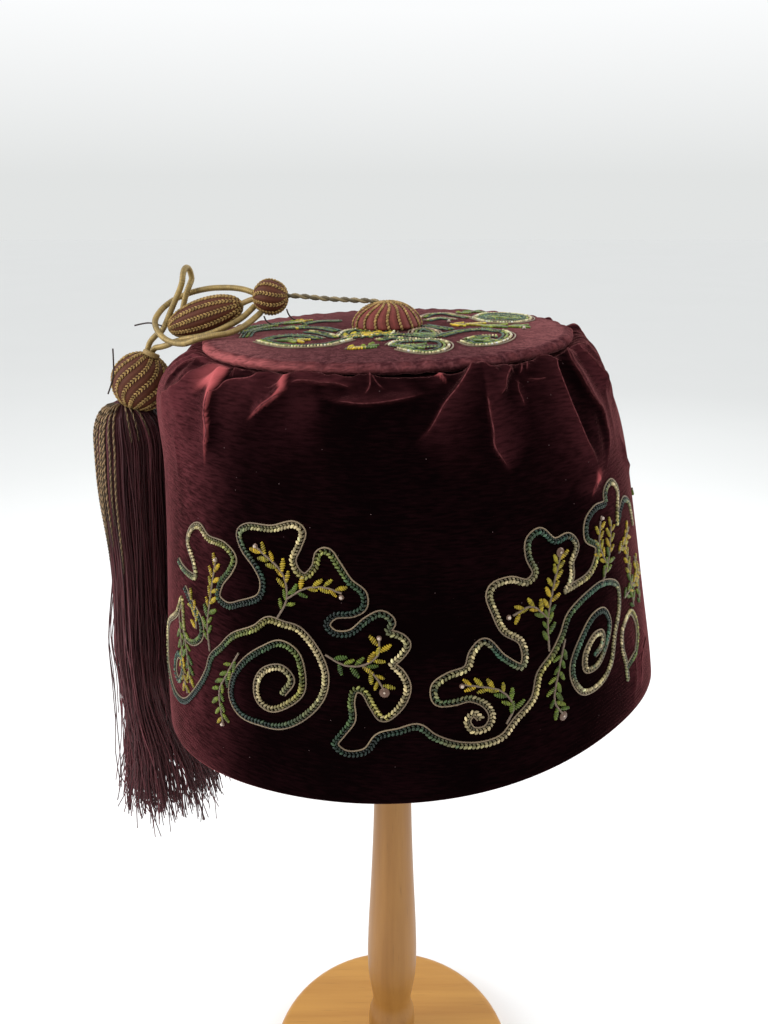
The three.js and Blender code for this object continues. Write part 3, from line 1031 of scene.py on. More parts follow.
@dataclass
class CrownSide:
    """Velvet side wall, gathered under the top's edge and open below.

    A place on it is a bearing in degrees from the front, growing to the right, and a share of the way
    from rim to seam or a distance down from the seam in mm.
    """

    cap: CapFrame
    studio: Studio
    thickness: float = 2.0
    hem_reach: float = 1.0
    hem_turns: tuple[float, ...] = (150.0, 110.0, 70.0, 30.0)
    hem_slack: float = 2.0
    rim_rise_front: float = 6.3
    rim_rise_right: float = 4.3
    tip_radius: float = 63.2
    tip_tilt_x: float = -0.9
    tip_tilt_y: float = 1.7
    shoulder_fullness: float = 2.6
    shoulder_height: float = 117.0
    shoulder_spread: float = 15.0
    shoulder_end: Span = (126.0, 129.0)
    hem_flare: float = 1.3
    hem_flare_bearing: float = 70.0
    hem_flare_spread: float = 17.0
    hem_flare_height: float = 20.0
    front_half: float = 92.0
    front_share: float = 0.4
    fold_begin: Span = (4.0, 9.0)
    fold_end: Span = (0.35, 1.0)
    fold_bed: float = 1.0
    fold_bed_end: Span = (9.0, 40.0)
    ridge_ease: float = 0.22
    ridge_fall: float = 1.35
    ridge_glow: float = 0.25
    ridge_radius: float = 80.0
    glow_width: float = 0.7
    seam_dent: float = 1.3
    seam_dent_at: float = 3.2
    seam_dent_width: float = 2.2
    pucker_count: int = 84
    pucker_begin: Span = (1.5, 6.0)
    pucker_spans: tuple[Span, ...] = ((-1.6, 1.6), (-4, 4), (9, 22), (0.4, 1.3), (1.0, 2.0))
    swell_count: int = 7
    swell_begin: Span = (6.0, 30.0)
    swell_waves: tuple[int, int] = (2, 7)
    swell_spans: tuple[Span, ...] = ((0.02, 0.06), WAVE_SPAN, (0.1, 0.3))
    flat_radius: float = 84.0
    crest_begin: Span = (0.5, 3.5)
    crest_foot: float = 0.3
    crest_start: Span = (0.0, 0.15)
    crest_end: Span = (0.6, 1.0)
    crest_round: float = 0.3
    crest_step: float = 3.0
    steep_share: float = 0.4
    gentle_share: float = 2.5
    shine_reach: float = 0.05
    shine_blur: float = 0.3
    shine_thin: float = 0.1
    # Reach of the painted highlight patch at a crease's start.
    patch_end: Span = (0.0, 0.5)
    patch_steep: float = 0.3
    # Painted light on the pile beside the crests.
    facet_reach: float = 8.0
    facet_steep: float = 0.5
    facet_end: Span = (0.7, 1.0)
    # Reach and strength of the painted shade on the steep sides of the crests.
    hollow_reach: float = 6.0
    hollow_shading: float = 0.85
    # Thin lines along the crests, worn pile with a painted highlight.
    line_step: float = 0.7
    line_radius: float = 0.2
    crest_highlight_colour: Colour = (0.21, 0.058, 0.063)
    line_start: Span = (0.0, 0.12)
    line_begin: Span = (0.5, 3.0)
    line_uneven: Span = (0.45, 1.15)
    line_sunk: float = 0.02
    line_sinks: float = 0.25
    patch_sunk: float = 0.5
    patch_sunk_end: Span = (0.3, 0.5)
    # Painted light on the wall's left and right: bearings where it rises and where it fades towards the back,
    # and its strengths.
    side_light_left: Span = (30.0, 64.0)
    side_light_right: Span = (36.0, 80.0)
    side_light_back: Span = (100.0, 150.0)
    side_light_back_left: float = 0.7
    side_light_shares: Span = (0.5, 0.2)
    # Painted highlight along the left of the hem.
    hem_highlight: float = 0.5
    hem_highlight_left: Span = (20.0, 60.0)
    # How much the painted shade dims the painted light beside the crests.
    facet_hollow: float = 0.8
    sight: Point = (180.0, 420.0, 0.25)
    table_steps: int = 1200
    table_rows: int = 400
    dense_span: Span = (-95.0, 95.0)
    front_steps: int = 440
    back_steps: int = 170
    upper_depth: float = 62.0
    upper_rows: int = 104
    lower_rows: int = 28
    inner_rows: int = 8
    line_stretch_steps: int = 40
    flat: Span = (0.58, 0.145)
    profile: tuple[Span, ...] = (
        (0, 92.4), (22, 90.8), (48, 87.8), (72, 84.6), (94, 81.6), (109, 79.6),
        (118, 77.4), (124, 73.8), (127.6, 69.4), (129, 64.8), (129, 60),
    )
    gathers: tuple[Gather, ...] = (
        Gather(-86, -78, 36, 3, 6), Gather(-69, -46, 40, 3.4, 6), Gather(-52, -60, 24, 2.2, 4),
        Gather(-42, -46, 24, 2.6, 4), Gather(-15, -36, 34, 3.6, 5), Gather(25, 3, 38, 4.4, 5),
        Gather(34, 20, 24, 3, 4), Gather(22, 26, 48, 2.6, 4), Gather(44, 38, 28, 2.6, 4),
        Gather(53, 51, 60, 3.4, 5), Gather(63, 62, 48, 3.2, 4), Gather(74, 76, 32, 3.8, 4),
        Gather(86, 92, 38, 3.2, 5), Gather(101, 98, 30, 3, 5), Gather(116, 124, 42, 3.6, 5),
        Gather(131, 129, 28, 2.8, 5), Gather(145, 152, 46, 3.6, 5), Gather(161, 160, 30, 3, 5),
        Gather(177, 170, 40, 3.6, 5), Gather(192, 195, 28, 2.8, 5), Gather(207, 200, 44, 3.6, 5),
        Gather(223, 226, 32, 3, 5), Gather(238, 233, 38, 3.2, 5), Gather(254, 258, 30, 2.8, 5),
    )
    sags: tuple[Sag, ...] = (Sag(-5, 17, 11, 3.5, 1.6), Sag(155, 15, 14, 4, 1.2))
    creases: tuple[Crease, ...] = (
        Crease(((204, 362), (187, 362), (172, 374), (163, 385)), 1.2, 2, 0.5, -1, 0.6),
        Crease(((206, 365), (190, 373), (178.6, 383), (159.5, 397.6)), 2, 2.6, 0.8, 1, 0.9),
        Crease(
            ((221, 366), (218, 374), (210, 390), (205, 402), (203.5, 413), (206.5, 430), (206.5, 445),
             (204, 470)), 2.8, 2.6, 1, -1, 0.5, 7.5,
        ),
        Crease(((270, 373), (257, 374), (230, 379), (219, 389), (207, 402)), 2.2, 2.6, 0.8, 1, 0.6),
        Crease(((237, 369), (233, 375), (229, 380)), 1.1, 1.6, 0.5, 1, 0.6),
        Crease(((287.5, 378), (283, 388), (270, 400), (246, 421)), 2.6, 2.8, 0.75, -1, 0.7, 2.4),
        Crease(((287.5, 378), (293, 375), (302, 374.5), (316, 375.5), (325, 379)), 1.6, 1.8, 0.5, -1, 0.8),
        Crease(((290, 387), (311, 382), (328.6, 381), (346, 386), (361, 393)), 1.8, 2.2, 0.5, 1, 0.7),
        Crease(((335, 401), (357, 403), (382, 402), (409, 397), (430, 390)), 2, 2.4, 0.4, 1, 0.6),
        Crease(((371, 376), (370, 388), (361, 400)), 1.2, 1.6),
        Crease(((371, 381), (380, 388), (388, 394)), 0.9, 1.6, 0.3, 0, 0.2),
        Crease(((437, 374), (442, 377), (447, 384)), 1.2, 1.8, 0.6, 0, 0.4, 1.6),
        Crease(((473, 369.5), (461, 383), (445, 403), (426.5, 434), (411, 446)), 3, 2.8, 0.65, 1, 0.42),
        Crease(((475, 369), (488, 369), (498, 372), (500.5, 380)), 1.6, 2.2, 0.35, -1, 0.45),
        Crease(
            ((485, 393), (488.5, 407), (493, 431), (495, 447), (507, 465), (513, 476)),
            2, 2.4, 0.5, 1, 0.45,
        ),
        Crease(((511, 368), (507, 379), (504, 389.5), (492, 403)), 2, 2.2, 0.45, -1, 0.45),
        Crease(((516, 381), (518, 389.5), (523, 401.6), (526, 410)), 1, 1.8, 0.4),
        Crease(((520, 366), (521, 371), (517, 377)), 0.9, 1.1, 0.45),
        Crease(((526, 364.5), (526.5, 369), (525, 374)), 0.9, 1.1, 0.4),
        Crease(((529, 361), (541, 359), (551, 361)), 1, 1.8, 0.35, -1),
        Crease(((526, 380), (536, 380.5), (547, 379.5)), 0.5, 1.2, 0.3),
        Crease(
            ((552, 357), (560, 370.6), (569.4, 396.4), (578, 417), (586.6, 437.8), (597, 458.4),
             (600.4, 474)), 2.6, 2.6, 0.55, -1, 0.5,
        ),
        Crease(
            ((566, 350), (571, 352), (583, 375.8), (595, 396.4), (604, 410), (607, 424), (608, 438),
             (605.6, 477)), 2.2, 2.2, 0.5, 1, 0.45,
        ),
        Crease(((575, 346), (583, 350), (602, 372), (612.5, 389.5), (619, 420.5)), 1.8, 2, 0.55, 0, 0.5),
        Crease(((577, 352), (590, 362), (603, 379), (611, 398)), 1, 1.4, 0.45),
        Crease(((621, 438), (626, 455), (630, 472)), 0.8, 1.8, 0.4),
        Crease(((600, 474), (596, 488), (592, 498)), 1.2, 1.8, 0.7, 0, 0.4, 1.4),
        Crease(((632, 640), (636, 680), (634, 716)), 0.5, 2, 0.25),
        Crease(((175, 432), (176, 450), (179, 490)), 0.3, 2, 0, 0, 0.15),
        Crease(((645, 632), (641, 660), (642, 690)), 0.7, 2, 0.3, 0, 1),
    )

    def __post_init__(self) -> None:
        """Works out the wall's line, its chance puckers and the tables of its folds."""
        points = np.array(self.profile, float)[:, ::-1]
        before = np.vstack([points[:1], points[:-2]])
        after = np.vstack([points[2:], points[-1:]])
        share = np.linspace(0.0, 1.0, self.line_stretch_steps, endpoint=False)[:, None]
        stretches = zip(before, points[:-1], points[1:], after)
        curves = [cubic(b, c, (c - a) / 2, (d - b) / 2, share) for a, b, c, d in stretches]
        self.line = np.vstack([*curves, points[-1:]])
        walked = walk(self.line)
        self.length = float(walked[-1])
        self.shares = walked / self.length
        self.along = unit(np.gradient(self.line, walked, axis=0))
        rng = np.random.default_rng(SEED)
        self.puckers = []
        for seat in np.arange(self.pucker_count) * 360.0 / self.pucker_count:
            seam, foot, *sizes = (rng.uniform(*span) for span in self.pucker_spans)
            self.puckers.append(Gather(seat + seam, seat + foot, *sizes))
        self.swells = []
        for _ in range(self.swell_count):
            waves = rng.integers(*self.swell_waves)
            self.swells.append((waves, *(rng.uniform(*span) for span in self.swell_spans)))
        self.flat_scale = math.radians(1.0) * self.flat_radius
        self.crease_lines = [(self.crest_spots(crease), crease) for crease in self.creases]
        bearings = (np.arange(self.table_steps) * 360.0 / self.table_steps)[None]
        downs = np.linspace(0.0, self.length, self.table_rows)[:, None]
        height, glow, self.facets, self.hollows = self.crease_marks(bearings, downs)
        self.lifts = self.gathered(bearings, downs) + height
        self.glow = np.maximum(glow, self.back_glow(bearings, downs))

    def shown(self, gather: Gather) -> bool:
        """Whether a gather lies where the photograph shows the wall."""
        return abs(gather.seam) < self.front_half

    def ridge(self, bearing: Array, down: Array, gather: Gather, begun: Array) -> tuple[Array, Array]:
        """Where places lie against one ridge.

        Args:
            bearing: Degrees from the front.
            down: Distance down from the seam.
            gather: The ridge.
            begun: How far ridges have risen there, from 0 to 1.

        Returns:
            Degrees off its crest, and the share of its height that is left.
        """
        share = down / gather.reach
        middle = gather.seam + (gather.foot - gather.seam) * np.minimum(share, 1.0)
        return signed(bearing - middle), begun * (1.0 - smooth(share, *self.fold_end))

    def fold(self, bearing: Array, down: Array, gather: Gather, begun: Array) -> Array:
        """Height of one ridge.

        Args:
            bearing: Degrees from the front.
            down: Distance down from the seam.
            gather: The ridge.
            begun: How far ridges have risen there, from 0 to 1.

        Returns:
            Heights in mm.
        """
        off, fade = self.ridge(bearing, down, gather, begun)
        far = np.sqrt((off / gather.spread) ** 2 + self.ridge_ease**2) - self.ridge_ease
        share = self.front_share if self.shown(gather) else 1.0
        return gather.rise * share * fade * np.exp(-self.ridge_fall * far)

    def gathered(self, bearing: Array, down: Array) -> Array:
        """Height of all gathers, puckers, hollows and swells above the plain wall.

        Args:
            bearing: Degrees from the front.
            down: Distance down from the seam.

        Returns:
            Heights in mm.
        """
        begun = smooth(down, *self.fold_begin)
        height = -self.fold_bed * begun * (1.0 - smooth(down, *self.fold_bed_end))
        for gather in self.gathers:
            height = height + self.fold(bearing, down, gather, begun)
        height = height - self.seam_dent * np.exp(-(((down - self.seam_dent_at) / self.seam_dent_width) ** 2))
        early = smooth(down, *self.pucker_begin)
        for pucker in self.puckers:
            height = height + self.fold(bearing, down, pucker, early)
        for sag in self.sags:
            off = signed(bearing - sag.bearing) / sag.spread
            height = height - sag.depth * np.exp(-(off**2) - ((down - sag.drop) / sag.width) ** 2)
        low = smooth(down, *self.swell_begin)
        for waves, rate, phase, depth in self.swells:
            height = height + depth * np.sin(waves * np.radians(bearing) + rate * down + phase) * low
        return height

    def back_glow(self, bearing: Array, down: Array) -> Array:
        """Sheen along the crests of the gathers that the photograph doesn't show.

        Args:
            bearing: Degrees from the front.
            down: Distance down from the seam.

        Returns:
            Sheen from 0 to 1.
        """
        begun = smooth(down, *self.fold_begin)
        glow = np.zeros(np.broadcast(bearing, down).shape)
        for gather in self.gathers:
            if not self.shown(gather):
                off, fade = self.ridge(bearing, down, gather, begun)
                away = off * math.radians(1.0) * self.ridge_radius / self.glow_width
                glow = np.maximum(glow, self.ridge_glow * fade * np.exp(-(away**2)))
        return glow

    def crest_fade(self, along: Array, down: Array) -> Array:
        """Share of a crest's height that is left at a share of its length and a distance down."""
        start = self.crest_foot + (1.0 - self.crest_foot) * smooth(along, *self.crest_start)
        return start * (1.0 - smooth(along, *self.crest_end)) * smooth(down, *self.crest_begin)

    def crest_spots(self, crease: Crease) -> tuple[Array, Array]:
        """Where a crest, with its own height, is seen at its pixels.

        Args:
            crease: The crest.

        Returns:
            Bearings and shares.
        """
        bearings, shares = self.meet(crease.pixels)
        along = np.linspace(0.0, 1.0, len(bearings))
        for _ in range(3):
            down = self.length * (1.0 - shares)
            lifts = self.gathered(bearings, down) + crease.rise * self.crest_fade(along, down)
            bearings, shares = self.meet(crease.pixels, lifts)
        return bearings, shares

    def crease_nodes(self, bearings: Array, shares: Array, step: float) -> Array:
        """Places along a crease, laid out flat in mm round from its start and down from the seam."""
        across = (bearings - bearings[0]) * self.flat_scale
        return spline(np.stack([across, self.length * (1.0 - shares)], axis=1), step)

    def off_crease(self, nodes: Array, across: Array, down: Array) -> tuple[Array, Array, Array]:
        """Where flat places lie against a crease.

        Args:
            nodes: Flat places along the crease.
            across: Distance round from its start.
            down: Distance down from the seam.

        Returns:
            Distance from it, share of the way along it, and side of it as 1 or -1.
        """
        near, along, side = np.inf, 0.0, 0.0
        for i, (a, b) in enumerate(zip(nodes[:-1], nodes[1:])):
            x, y, step = across - a[0], down - a[1], b - a
            share = np.clip((x * step[0] + y * step[1]) / (step @ step), 0.0, 1.0)
            apart = np.hypot(x - share * step[0], y - share * step[1])
            along = np.where(apart < near, (i + share) / (len(nodes) - 1), along)
            side = np.where(apart < near, np.sign(step[0] * y - step[1] * x), side)
            near = np.minimum(near, apart)
        return near, along, side

    def crease_marks(self, bearing: Array, down: Array) -> tuple[Array, Array, Array, Array]:
        """Height and look of the sharp crests read from the photograph.

        Args:
            bearing: Degrees from the front.
            down: Distance down from the seam.

        Returns:
            Heights in mm, and from 0 to 1 the painted sheen, the painted light on the pile beside the crests
            and the painted shade in the hollows.
        """
        height, glow, facets, hollows = np.zeros((4, *np.broadcast(bearing, down).shape))
        for (bearings, shares), crease in self.crease_lines:
            nodes = self.crease_nodes(bearings, shares, self.crest_step)
            near, along, side = self.off_crease(nodes, signed(bearing - bearings[0]) * self.flat_scale, down)
            fade = self.crest_fade(along, down)
            steep, gentle = side * crease.steep > 0, side * crease.steep < 0
            fall = np.where(steep, self.steep_share, np.where(gentle, self.gentle_share, 1.0))
            tip = np.sqrt(near**2 + self.crest_round**2) - self.crest_round
            height += crease.rise * fade * np.exp(-tip / (crease.width * fall))
            # Painted highlight along the crest, spread wide at a patch.
            reach = self.shine_reach + crease.patch * (1.0 - smooth(along, *self.patch_end))
            reach = reach * np.where(steep, self.patch_steep, 1.0) + self.shine_blur
            shine = crease.line if crease.patch else self.shine_thin * crease.line
            glow = np.maximum(glow, shine * fade * np.exp(-((near / reach) ** 4)))
            # Painted light on the pile beside the crest.
            lasting = (1.0 - smooth(along, *self.facet_end)) * smooth(down, *self.crest_begin)
            wide = self.facet_reach if crease.steep else self.facet_reach / 2
            lit = np.exp(-near / np.where(steep, self.facet_steep, wide))
            facets = np.maximum(facets, crease.facet * lasting * lit)
            # Painted shade on the crest's steep side.
            dark = np.where(steep, np.exp(-((near / self.hollow_reach) ** 2)), 0.0)
            hollows = np.maximum(hollows, self.hollow_shading * lasting * dark)
        return height, glow, facets, hollows

    def look_up(self, table: Array, bearing: Array, down: Array) -> Array:
        """Value of a table, between its rows and columns.

        Args:
            table: Rows down from the seam, columns round from the front.
            bearing: Degrees from the front.
            down: Distance down from the seam.

        Returns:
            One value for each place.
        """
        across = np.mod(bearing, 360.0) / 360.0 * table.shape[1]
        below = np.clip(down / self.length, 0.0, 1.0) * (table.shape[0] - 1)
        j, i = np.floor(across).astype(int), np.minimum(np.floor(below).astype(int), table.shape[0] - 2)
        s, t = across - j, below - i
        j, k = j % table.shape[1], (j + 1) % table.shape[1]
        upper = table[i, j] * (1 - s) + table[i, k] * s
        lower = table[i + 1, j] * (1 - s) + table[i + 1, k] * s
        return upper * (1 - t) + lower * t

    def rise(self, bearing: Array, height: Array) -> Array:
        """How much higher than level the wall stands.

        Args:
            bearing: Degrees from the front.
            height: Height up the wall's profile.

        Returns:
            Rise in mm.
        """
        right, front = np.sin(np.radians(bearing)), np.cos(np.radians(bearing))
        slant = self.rim_rise_front * front + self.rim_rise_right * right
        ahead, aside = (math.sin(math.radians(-tilt)) for tilt in (self.tip_tilt_x, self.tip_tilt_y))
        tilt = ahead * front + aside * right
        return slant + (self.tip_radius * tilt - slant) * smooth(height, 0.0, self.profile[-1][0])

    def fullness(self, bearing: Array, height: Array) -> Array:
        """How far the wall stands out at the left shoulder and at the flared right of the hem.

        Args:
            bearing: Degrees from the front.
            height: Height up the wall's profile.

        Returns:
            Distance in mm.
        """
        bulge = np.exp(-(((height - self.shoulder_height) / self.shoulder_spread) ** 2))
        full = -self.shoulder_fullness * np.sin(np.radians(bearing)) * bulge
        off = signed(bearing - self.hem_flare_bearing) / self.hem_flare_spread
        flare = self.hem_flare * np.exp(-(off**2) - (height / self.hem_flare_height) ** 2)
        return full * (1.0 - smooth(height, *self.shoulder_end)) + flare

    def points(self, bearing: Array, share: Amount, offset: Amount = 0.0, drop: Amount = 0.0) -> Array:
        """Points of the wall in the row frame.

        Args:
            bearing: Degrees from the front.
            share: Share of the way from rim to seam.
            offset: Distance outside the velvet's face.
            drop: Distance below the wall's own line.

        Returns:
            Points in millimetres.
        """
        bearing, share = np.broadcast_arrays(np.asarray(bearing, float), np.asarray(share, float))
        columns = (*self.line.T, *self.along.T)
        radius, height, outward, upward = (np.interp(share, self.shares, column) for column in columns)
        lift = self.look_up(self.lifts, bearing, self.length * (1.0 - share)) + offset
        right, front = np.sin(np.radians(bearing)), np.cos(np.radians(bearing))
        reach = radius + upward * lift + self.fullness(bearing, height)
        level = height - outward * lift + self.rise(bearing, height) - drop
        return self.cap.to_world(np.stack([reach * right, -reach * front, level], axis=-1))

    def normals(self, bearing: Array, share: Array, turn: float = 0.6, step: float = 0.006) -> Array:
        """Directions out of the velvet's face.

        Args:
            bearing: Degrees from the front.
            share: Share of the way from rim to seam.
            turn: Degrees to each side over which the slope is taken.
            step: Share up and down over which it is taken.

        Returns:
            One direction for each place.
        """
        side = self.points(bearing + turn, share) - self.points(bearing - turn, share)
        upper = self.points(bearing, share + step) - self.points(bearing, share - step)
        return unit(np.cross(side, upper))

    def meet(self, pixels: Sequence[Pixel], lifts: Array | None = None) -> tuple[Array, Array]:
        """Where the rays through pixels of the photograph meet the wall.

        Args:
            pixels: Pixel coordinates, across and down.
            lifts: Height of the cloth above the plain wall at each pixel, in mm; none for the plain wall.

        Returns:
            Bearings in degrees and shares of the way from rim to seam.
        """
        eye, ways = self.studio.rays(pixels)
        steps = np.arange(*self.sight)[:, None]
        outward = np.stack([self.along[:, 1], -self.along[:, 0]], axis=1)
        found = []
        for way, lift in zip(ways, np.zeros(len(ways)) if lifts is None else lifts):
            spots = self.cap.to_cap(eye + way * steps)
            bearing = np.degrees(np.arctan2(spots[:, 0], -spots[:, 1]))
            height = spots[:, 2]
            for _ in range(4):
                height = spots[:, 2] - self.rise(bearing, height)
            raised = self.line + lift * outward
            order = np.argsort(raised[:, 1], kind="stable")
            reach = np.interp(height, raised[order, 1], raised[order, 0]) + self.fullness(bearing, height)
            outside = np.hypot(spots[:, 0], spots[:, 1]) - reach
            inside = (outside < 0) & (height < raised[:, 1].max()) & (height > -self.hem_slack)
            first = np.argmax(inside) if inside.any() else np.argmin(np.abs(outside))
            found.append((bearing[first], np.interp(height[first], raised[order, 1], self.shares[order])))
        bearings, shares = np.array(found).T
        return bearings, shares

    def build(self, finish: Velvet) -> Piece:
        """The wall with its hem.

        Args:
            finish: The velvet.

        Returns:
            The piece.
        """
        left, right = self.dense_span
        front = np.linspace(left, right, self.front_steps, endpoint=False)
        bearings = np.concatenate([front, np.linspace(right, left + 360.0, self.back_steps, endpoint=False)])
        upper = np.linspace(0.0, self.upper_depth, self.upper_rows, endpoint=False)
        lower = np.linspace(self.upper_depth, self.length, self.lower_rows)
        shares = np.clip(1.0 - np.concatenate([upper, lower])[::-1, None] / self.length, 0.0, 1.0)
        turn = np.radians(self.hem_turns)[:, None]
        inward = self.thickness / 2 * (np.cos(turn) - 1.0)
        hem = self.points(bearings, np.zeros_like(turn), inward, self.hem_reach * np.sin(turn))
        inner = self.points(bearings, np.linspace(1.0, 0.0, self.inner_rows)[:, None], -self.thickness)
        rows = np.concatenate([hem, self.points(bearings, shares), inner])
        outer = slice(len(hem), -len(inner))
        downs = self.length * (1.0 - shares)
        away = signed(bearings)
        full, less = self.side_light_shares
        # Painted light on the left and right of the wall, less towards the back.
        side_lit = smooth(-away, *self.side_light_left) * (1.0 - self.side_light_back_left * smooth(-away, *self.side_light_back))
        side_lit = side_lit + smooth(away, *self.side_light_right) * (full - less * smooth(away, *self.side_light_back))
        # Painted shade beside the steep sides of the crests.
        hollow = self.look_up(self.hollows, bearings, downs)
        marks = np.zeros(rows.shape)
        # Painted highlight along the left of the hem.
        marks[: len(hem), :, 0] = self.hem_highlight * smooth(-away, *self.hem_highlight_left)
        marks[outer, :, 0] = self.look_up(self.glow, bearings, downs)
        marks[..., 1] = np.minimum(side_lit, 1.0)
        # The painted shade takes out the painted side light.
        marks[outer, :, 1] *= 1.0 - hollow
        # Painted light on the pile beside the crests, dimmed by the painted shade.
        marks[outer, :, 2] = self.look_up(self.facets, bearings, downs) * (1.0 - self.facet_hollow * hollow)
        draft = Draft()
        draft.grid(rows, marks, close=True)
        piece = draft.build("side_velvet", finish.make())
        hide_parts("crown_side")
        return piece

    def crests(self) -> Piece:
        """Thin lines along the sharp crests: worn pile with a painted highlight.

        Returns:
            The piece.
        """
        draft = Draft()
        rng = np.random.default_rng(SEED + 3)
        for (bearings, shares), crease in self.crease_lines:
            if not crease.line:
                continue
            nodes = self.crease_nodes(bearings, shares, self.line_step)
            along = np.linspace(0.0, 1.0, len(nodes))
            fade = smooth(along, *self.line_start) * (1.0 - smooth(along, *self.crest_end))
            fade = fade * smooth(nodes[:, 1], *self.line_begin)
            sunk = self.line_sunk + self.line_sinks * (1.0 - fade)
            if crease.patch:
                sunk = sunk + self.patch_sunk * (1.0 - smooth(along, *self.patch_sunk_end))
            places = nodes[:, 0] / self.flat_scale + bearings[0], 1.0 - nodes[:, 1] / self.length
            broken = rng.uniform(*self.line_uneven, len(nodes)) * crease.line * (0.25 + 0.75 * fade)
            # Painted highlight, partly worn pile, unevenly bright along each line.
            shades = np.array(self.crest_highlight_colour) * broken[:, None]
            draft.tube(self.points(*places, -sunk), self.line_radius * (0.4 + 0.6 * fade), THIN_SIDES, shades)
        finish = Thread("crest_pile", 0.9, 0.0, 0.1, (0.6, 0.25, 0.25), specular=0.0)
        piece = draft.build("side_crests", finish.make())
        return piece


@dataclass
class CrownTip:
    """Round velvet top, slightly domed, with a rolled and puckered edge."""

    cap: CapFrame
    studio: Studio
    radius: float = 63.2
    thickness: float = 2.6
    dome: float = 1.5
    mean_dome: float = 0.6
    roll: float = 3.2
    roll_out: float = 0.5
    roll_half: float = 1.9
    roll_top: float = 0.966
    roll_rise: float = 0.14
    roll_angle: float = 75.0
    roll_rows: int = 14
    height: float = 132.1
    tilt_x: float = -0.9
    tilt_y: float = 1.7
    pucker: float = 0.3
    pucker_band: float = 3.0
    pucker_waves: tuple[int, ...] = (23, 31, 44, 57, 71)
    slow_waves: tuple[int, ...] = (2, 3, 5)
    wave_span: Span = (0.3, 1.0)
    # Painted highlight on the rolled edge: where it is brightest, its spread in degrees, and its band across
    # the roll.
    lit_angle: float = 212.0
    lit_spread: float = 34.0
    lit_band: float = 80.0
    mottle_span: Span = (0.45, 1.45)
    # Painted light on the left and right of the top's face.
    side_span: Span = (0.3, 0.85)
    top_side_light: float = 0.8
    under_shares: Point = (0.01, 0.5, 1.0)
    steps_round: int = 288
    face_rows: int = 34

    def tilt(self) -> Array:
        """Rotation of the top against the cap."""
        return rotation("x", self.tilt_x) @ rotation("y", self.tilt_y)

    def to_world(self, points: Array) -> Array:
        """Points of the top's own frame in the row frame."""
        return self.cap.to_world(points @ self.tilt().T + np.array((0.0, 0.0, self.height)))

    def level(self, away: Array) -> Array:
        """Height of the dome at distances from its middle."""
        return self.dome * (1.0 - (away / self.radius) ** 2)

    def face(self, across: Array, offset: float = 0.0) -> Array:
        """Points on the top's upper face, from points in its plan."""
        level = self.level(np.linalg.norm(across, axis=-1)) + offset
        return self.to_world(np.concatenate([across, level[..., None]], axis=-1))

    def meet(self, pixels: Sequence[Pixel]) -> Array:
        """Where the rays through pixels of the photograph meet the top's upper face.

        Args:
            pixels: Pixel coordinates, across and down.

        Returns:
            Points of its plan.
        """
        eye, ways = self.studio.rays(pixels)
        spots = self.cap.to_cap(np.vstack([eye, eye + ways])) - np.array((0.0, 0.0, self.height))
        start, *ahead = spots @ self.tilt()
        ahead = np.array(ahead) - start
        reach = (self.dome * self.mean_dome - start[2]) / ahead[:, 2:]
        return start[:2] + ahead[:, :2] * reach

    def ripple(self, angles: Array, waves: Sequence[int], rng: Chance) -> Array:
        """Sum of waves of chance depth and phase, at angles round the edge."""
        return sum(rng.uniform(*self.wave_span) * np.cos(n * angles + rng.uniform(*WAVE_SPAN)) for n in waves)

    def build(self, finish: Velvet) -> Piece:
        """The top.

        Args:
            finish: The velvet.

        Returns:
            The piece.
        """
        rng = np.random.default_rng(SEED + 1)
        angles = ring_angles(self.steps_round)
        wave = self.ripple(angles, self.pucker_waves, rng)
        gentle = self.ripple(angles, self.slow_waves, rng)
        inner = self.radius - self.roll
        under = inner * np.array(self.under_shares)
        over = inner * np.linspace(1.0, self.under_shares[0], self.face_rows)
        turn = np.radians(np.linspace(-self.roll_angle, self.roll_angle, self.roll_rows))
        rolled = inner + (self.roll + self.roll_out) * np.cos(turn)
        rises = self.roll_half * (np.sin(turn) - self.roll_top) + self.roll_rise
        radius = np.concatenate([under, rolled, over])[:, None]
        level = np.concatenate([self.level(under) - self.thickness, rises, self.level(over)])[:, None]
        edge = smooth(radius, inner - self.pucker_band, self.radius)
        reach = radius + edge * self.pucker * (0.5 * wave + 0.4 * gentle)
        stand = level + self.pucker * (0.55 * edge * wave + 0.35 * gentle * (radius / self.radius))
        rows = self.to_world(np.stack([reach * np.cos(angles), reach * np.sin(angles), stand], axis=-1))
        # Painted highlight along the rolled edge, partly worn pile, brightest at the front left.
        lit = np.exp(-(((np.degrees(angles) - self.lit_angle) / self.lit_spread) ** 2))
        band = np.cos(np.radians(np.linspace(-self.lit_band, self.lit_band, self.roll_rows)))[:, None]
        mottle = rng.uniform(*self.mottle_span, (self.roll_rows, self.steps_round))
        sideways = np.abs(np.cos(angles)) * over[:, None] / self.radius
        marks = np.zeros(rows.shape)
        # Painted highlight with some wear all round the rolled edge.
        worn = mottle * band * (0.14 + 0.05 * wave + 0.85 * lit)
        marks[len(under) : -len(over), :, 0] = worn.clip(0.02, 1.0)
        # Painted light on the left and right of the top's face.
        marks[-len(over) :, :, 1] = self.top_side_light * smooth(sideways, *self.side_span)
        draft = Draft()
        draft.solid(rows, marks, (WHITE, BLACK))
        piece = draft.build("tip_velvet", finish.make())
        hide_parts("crown_tip")
        return piece


# Embroidery


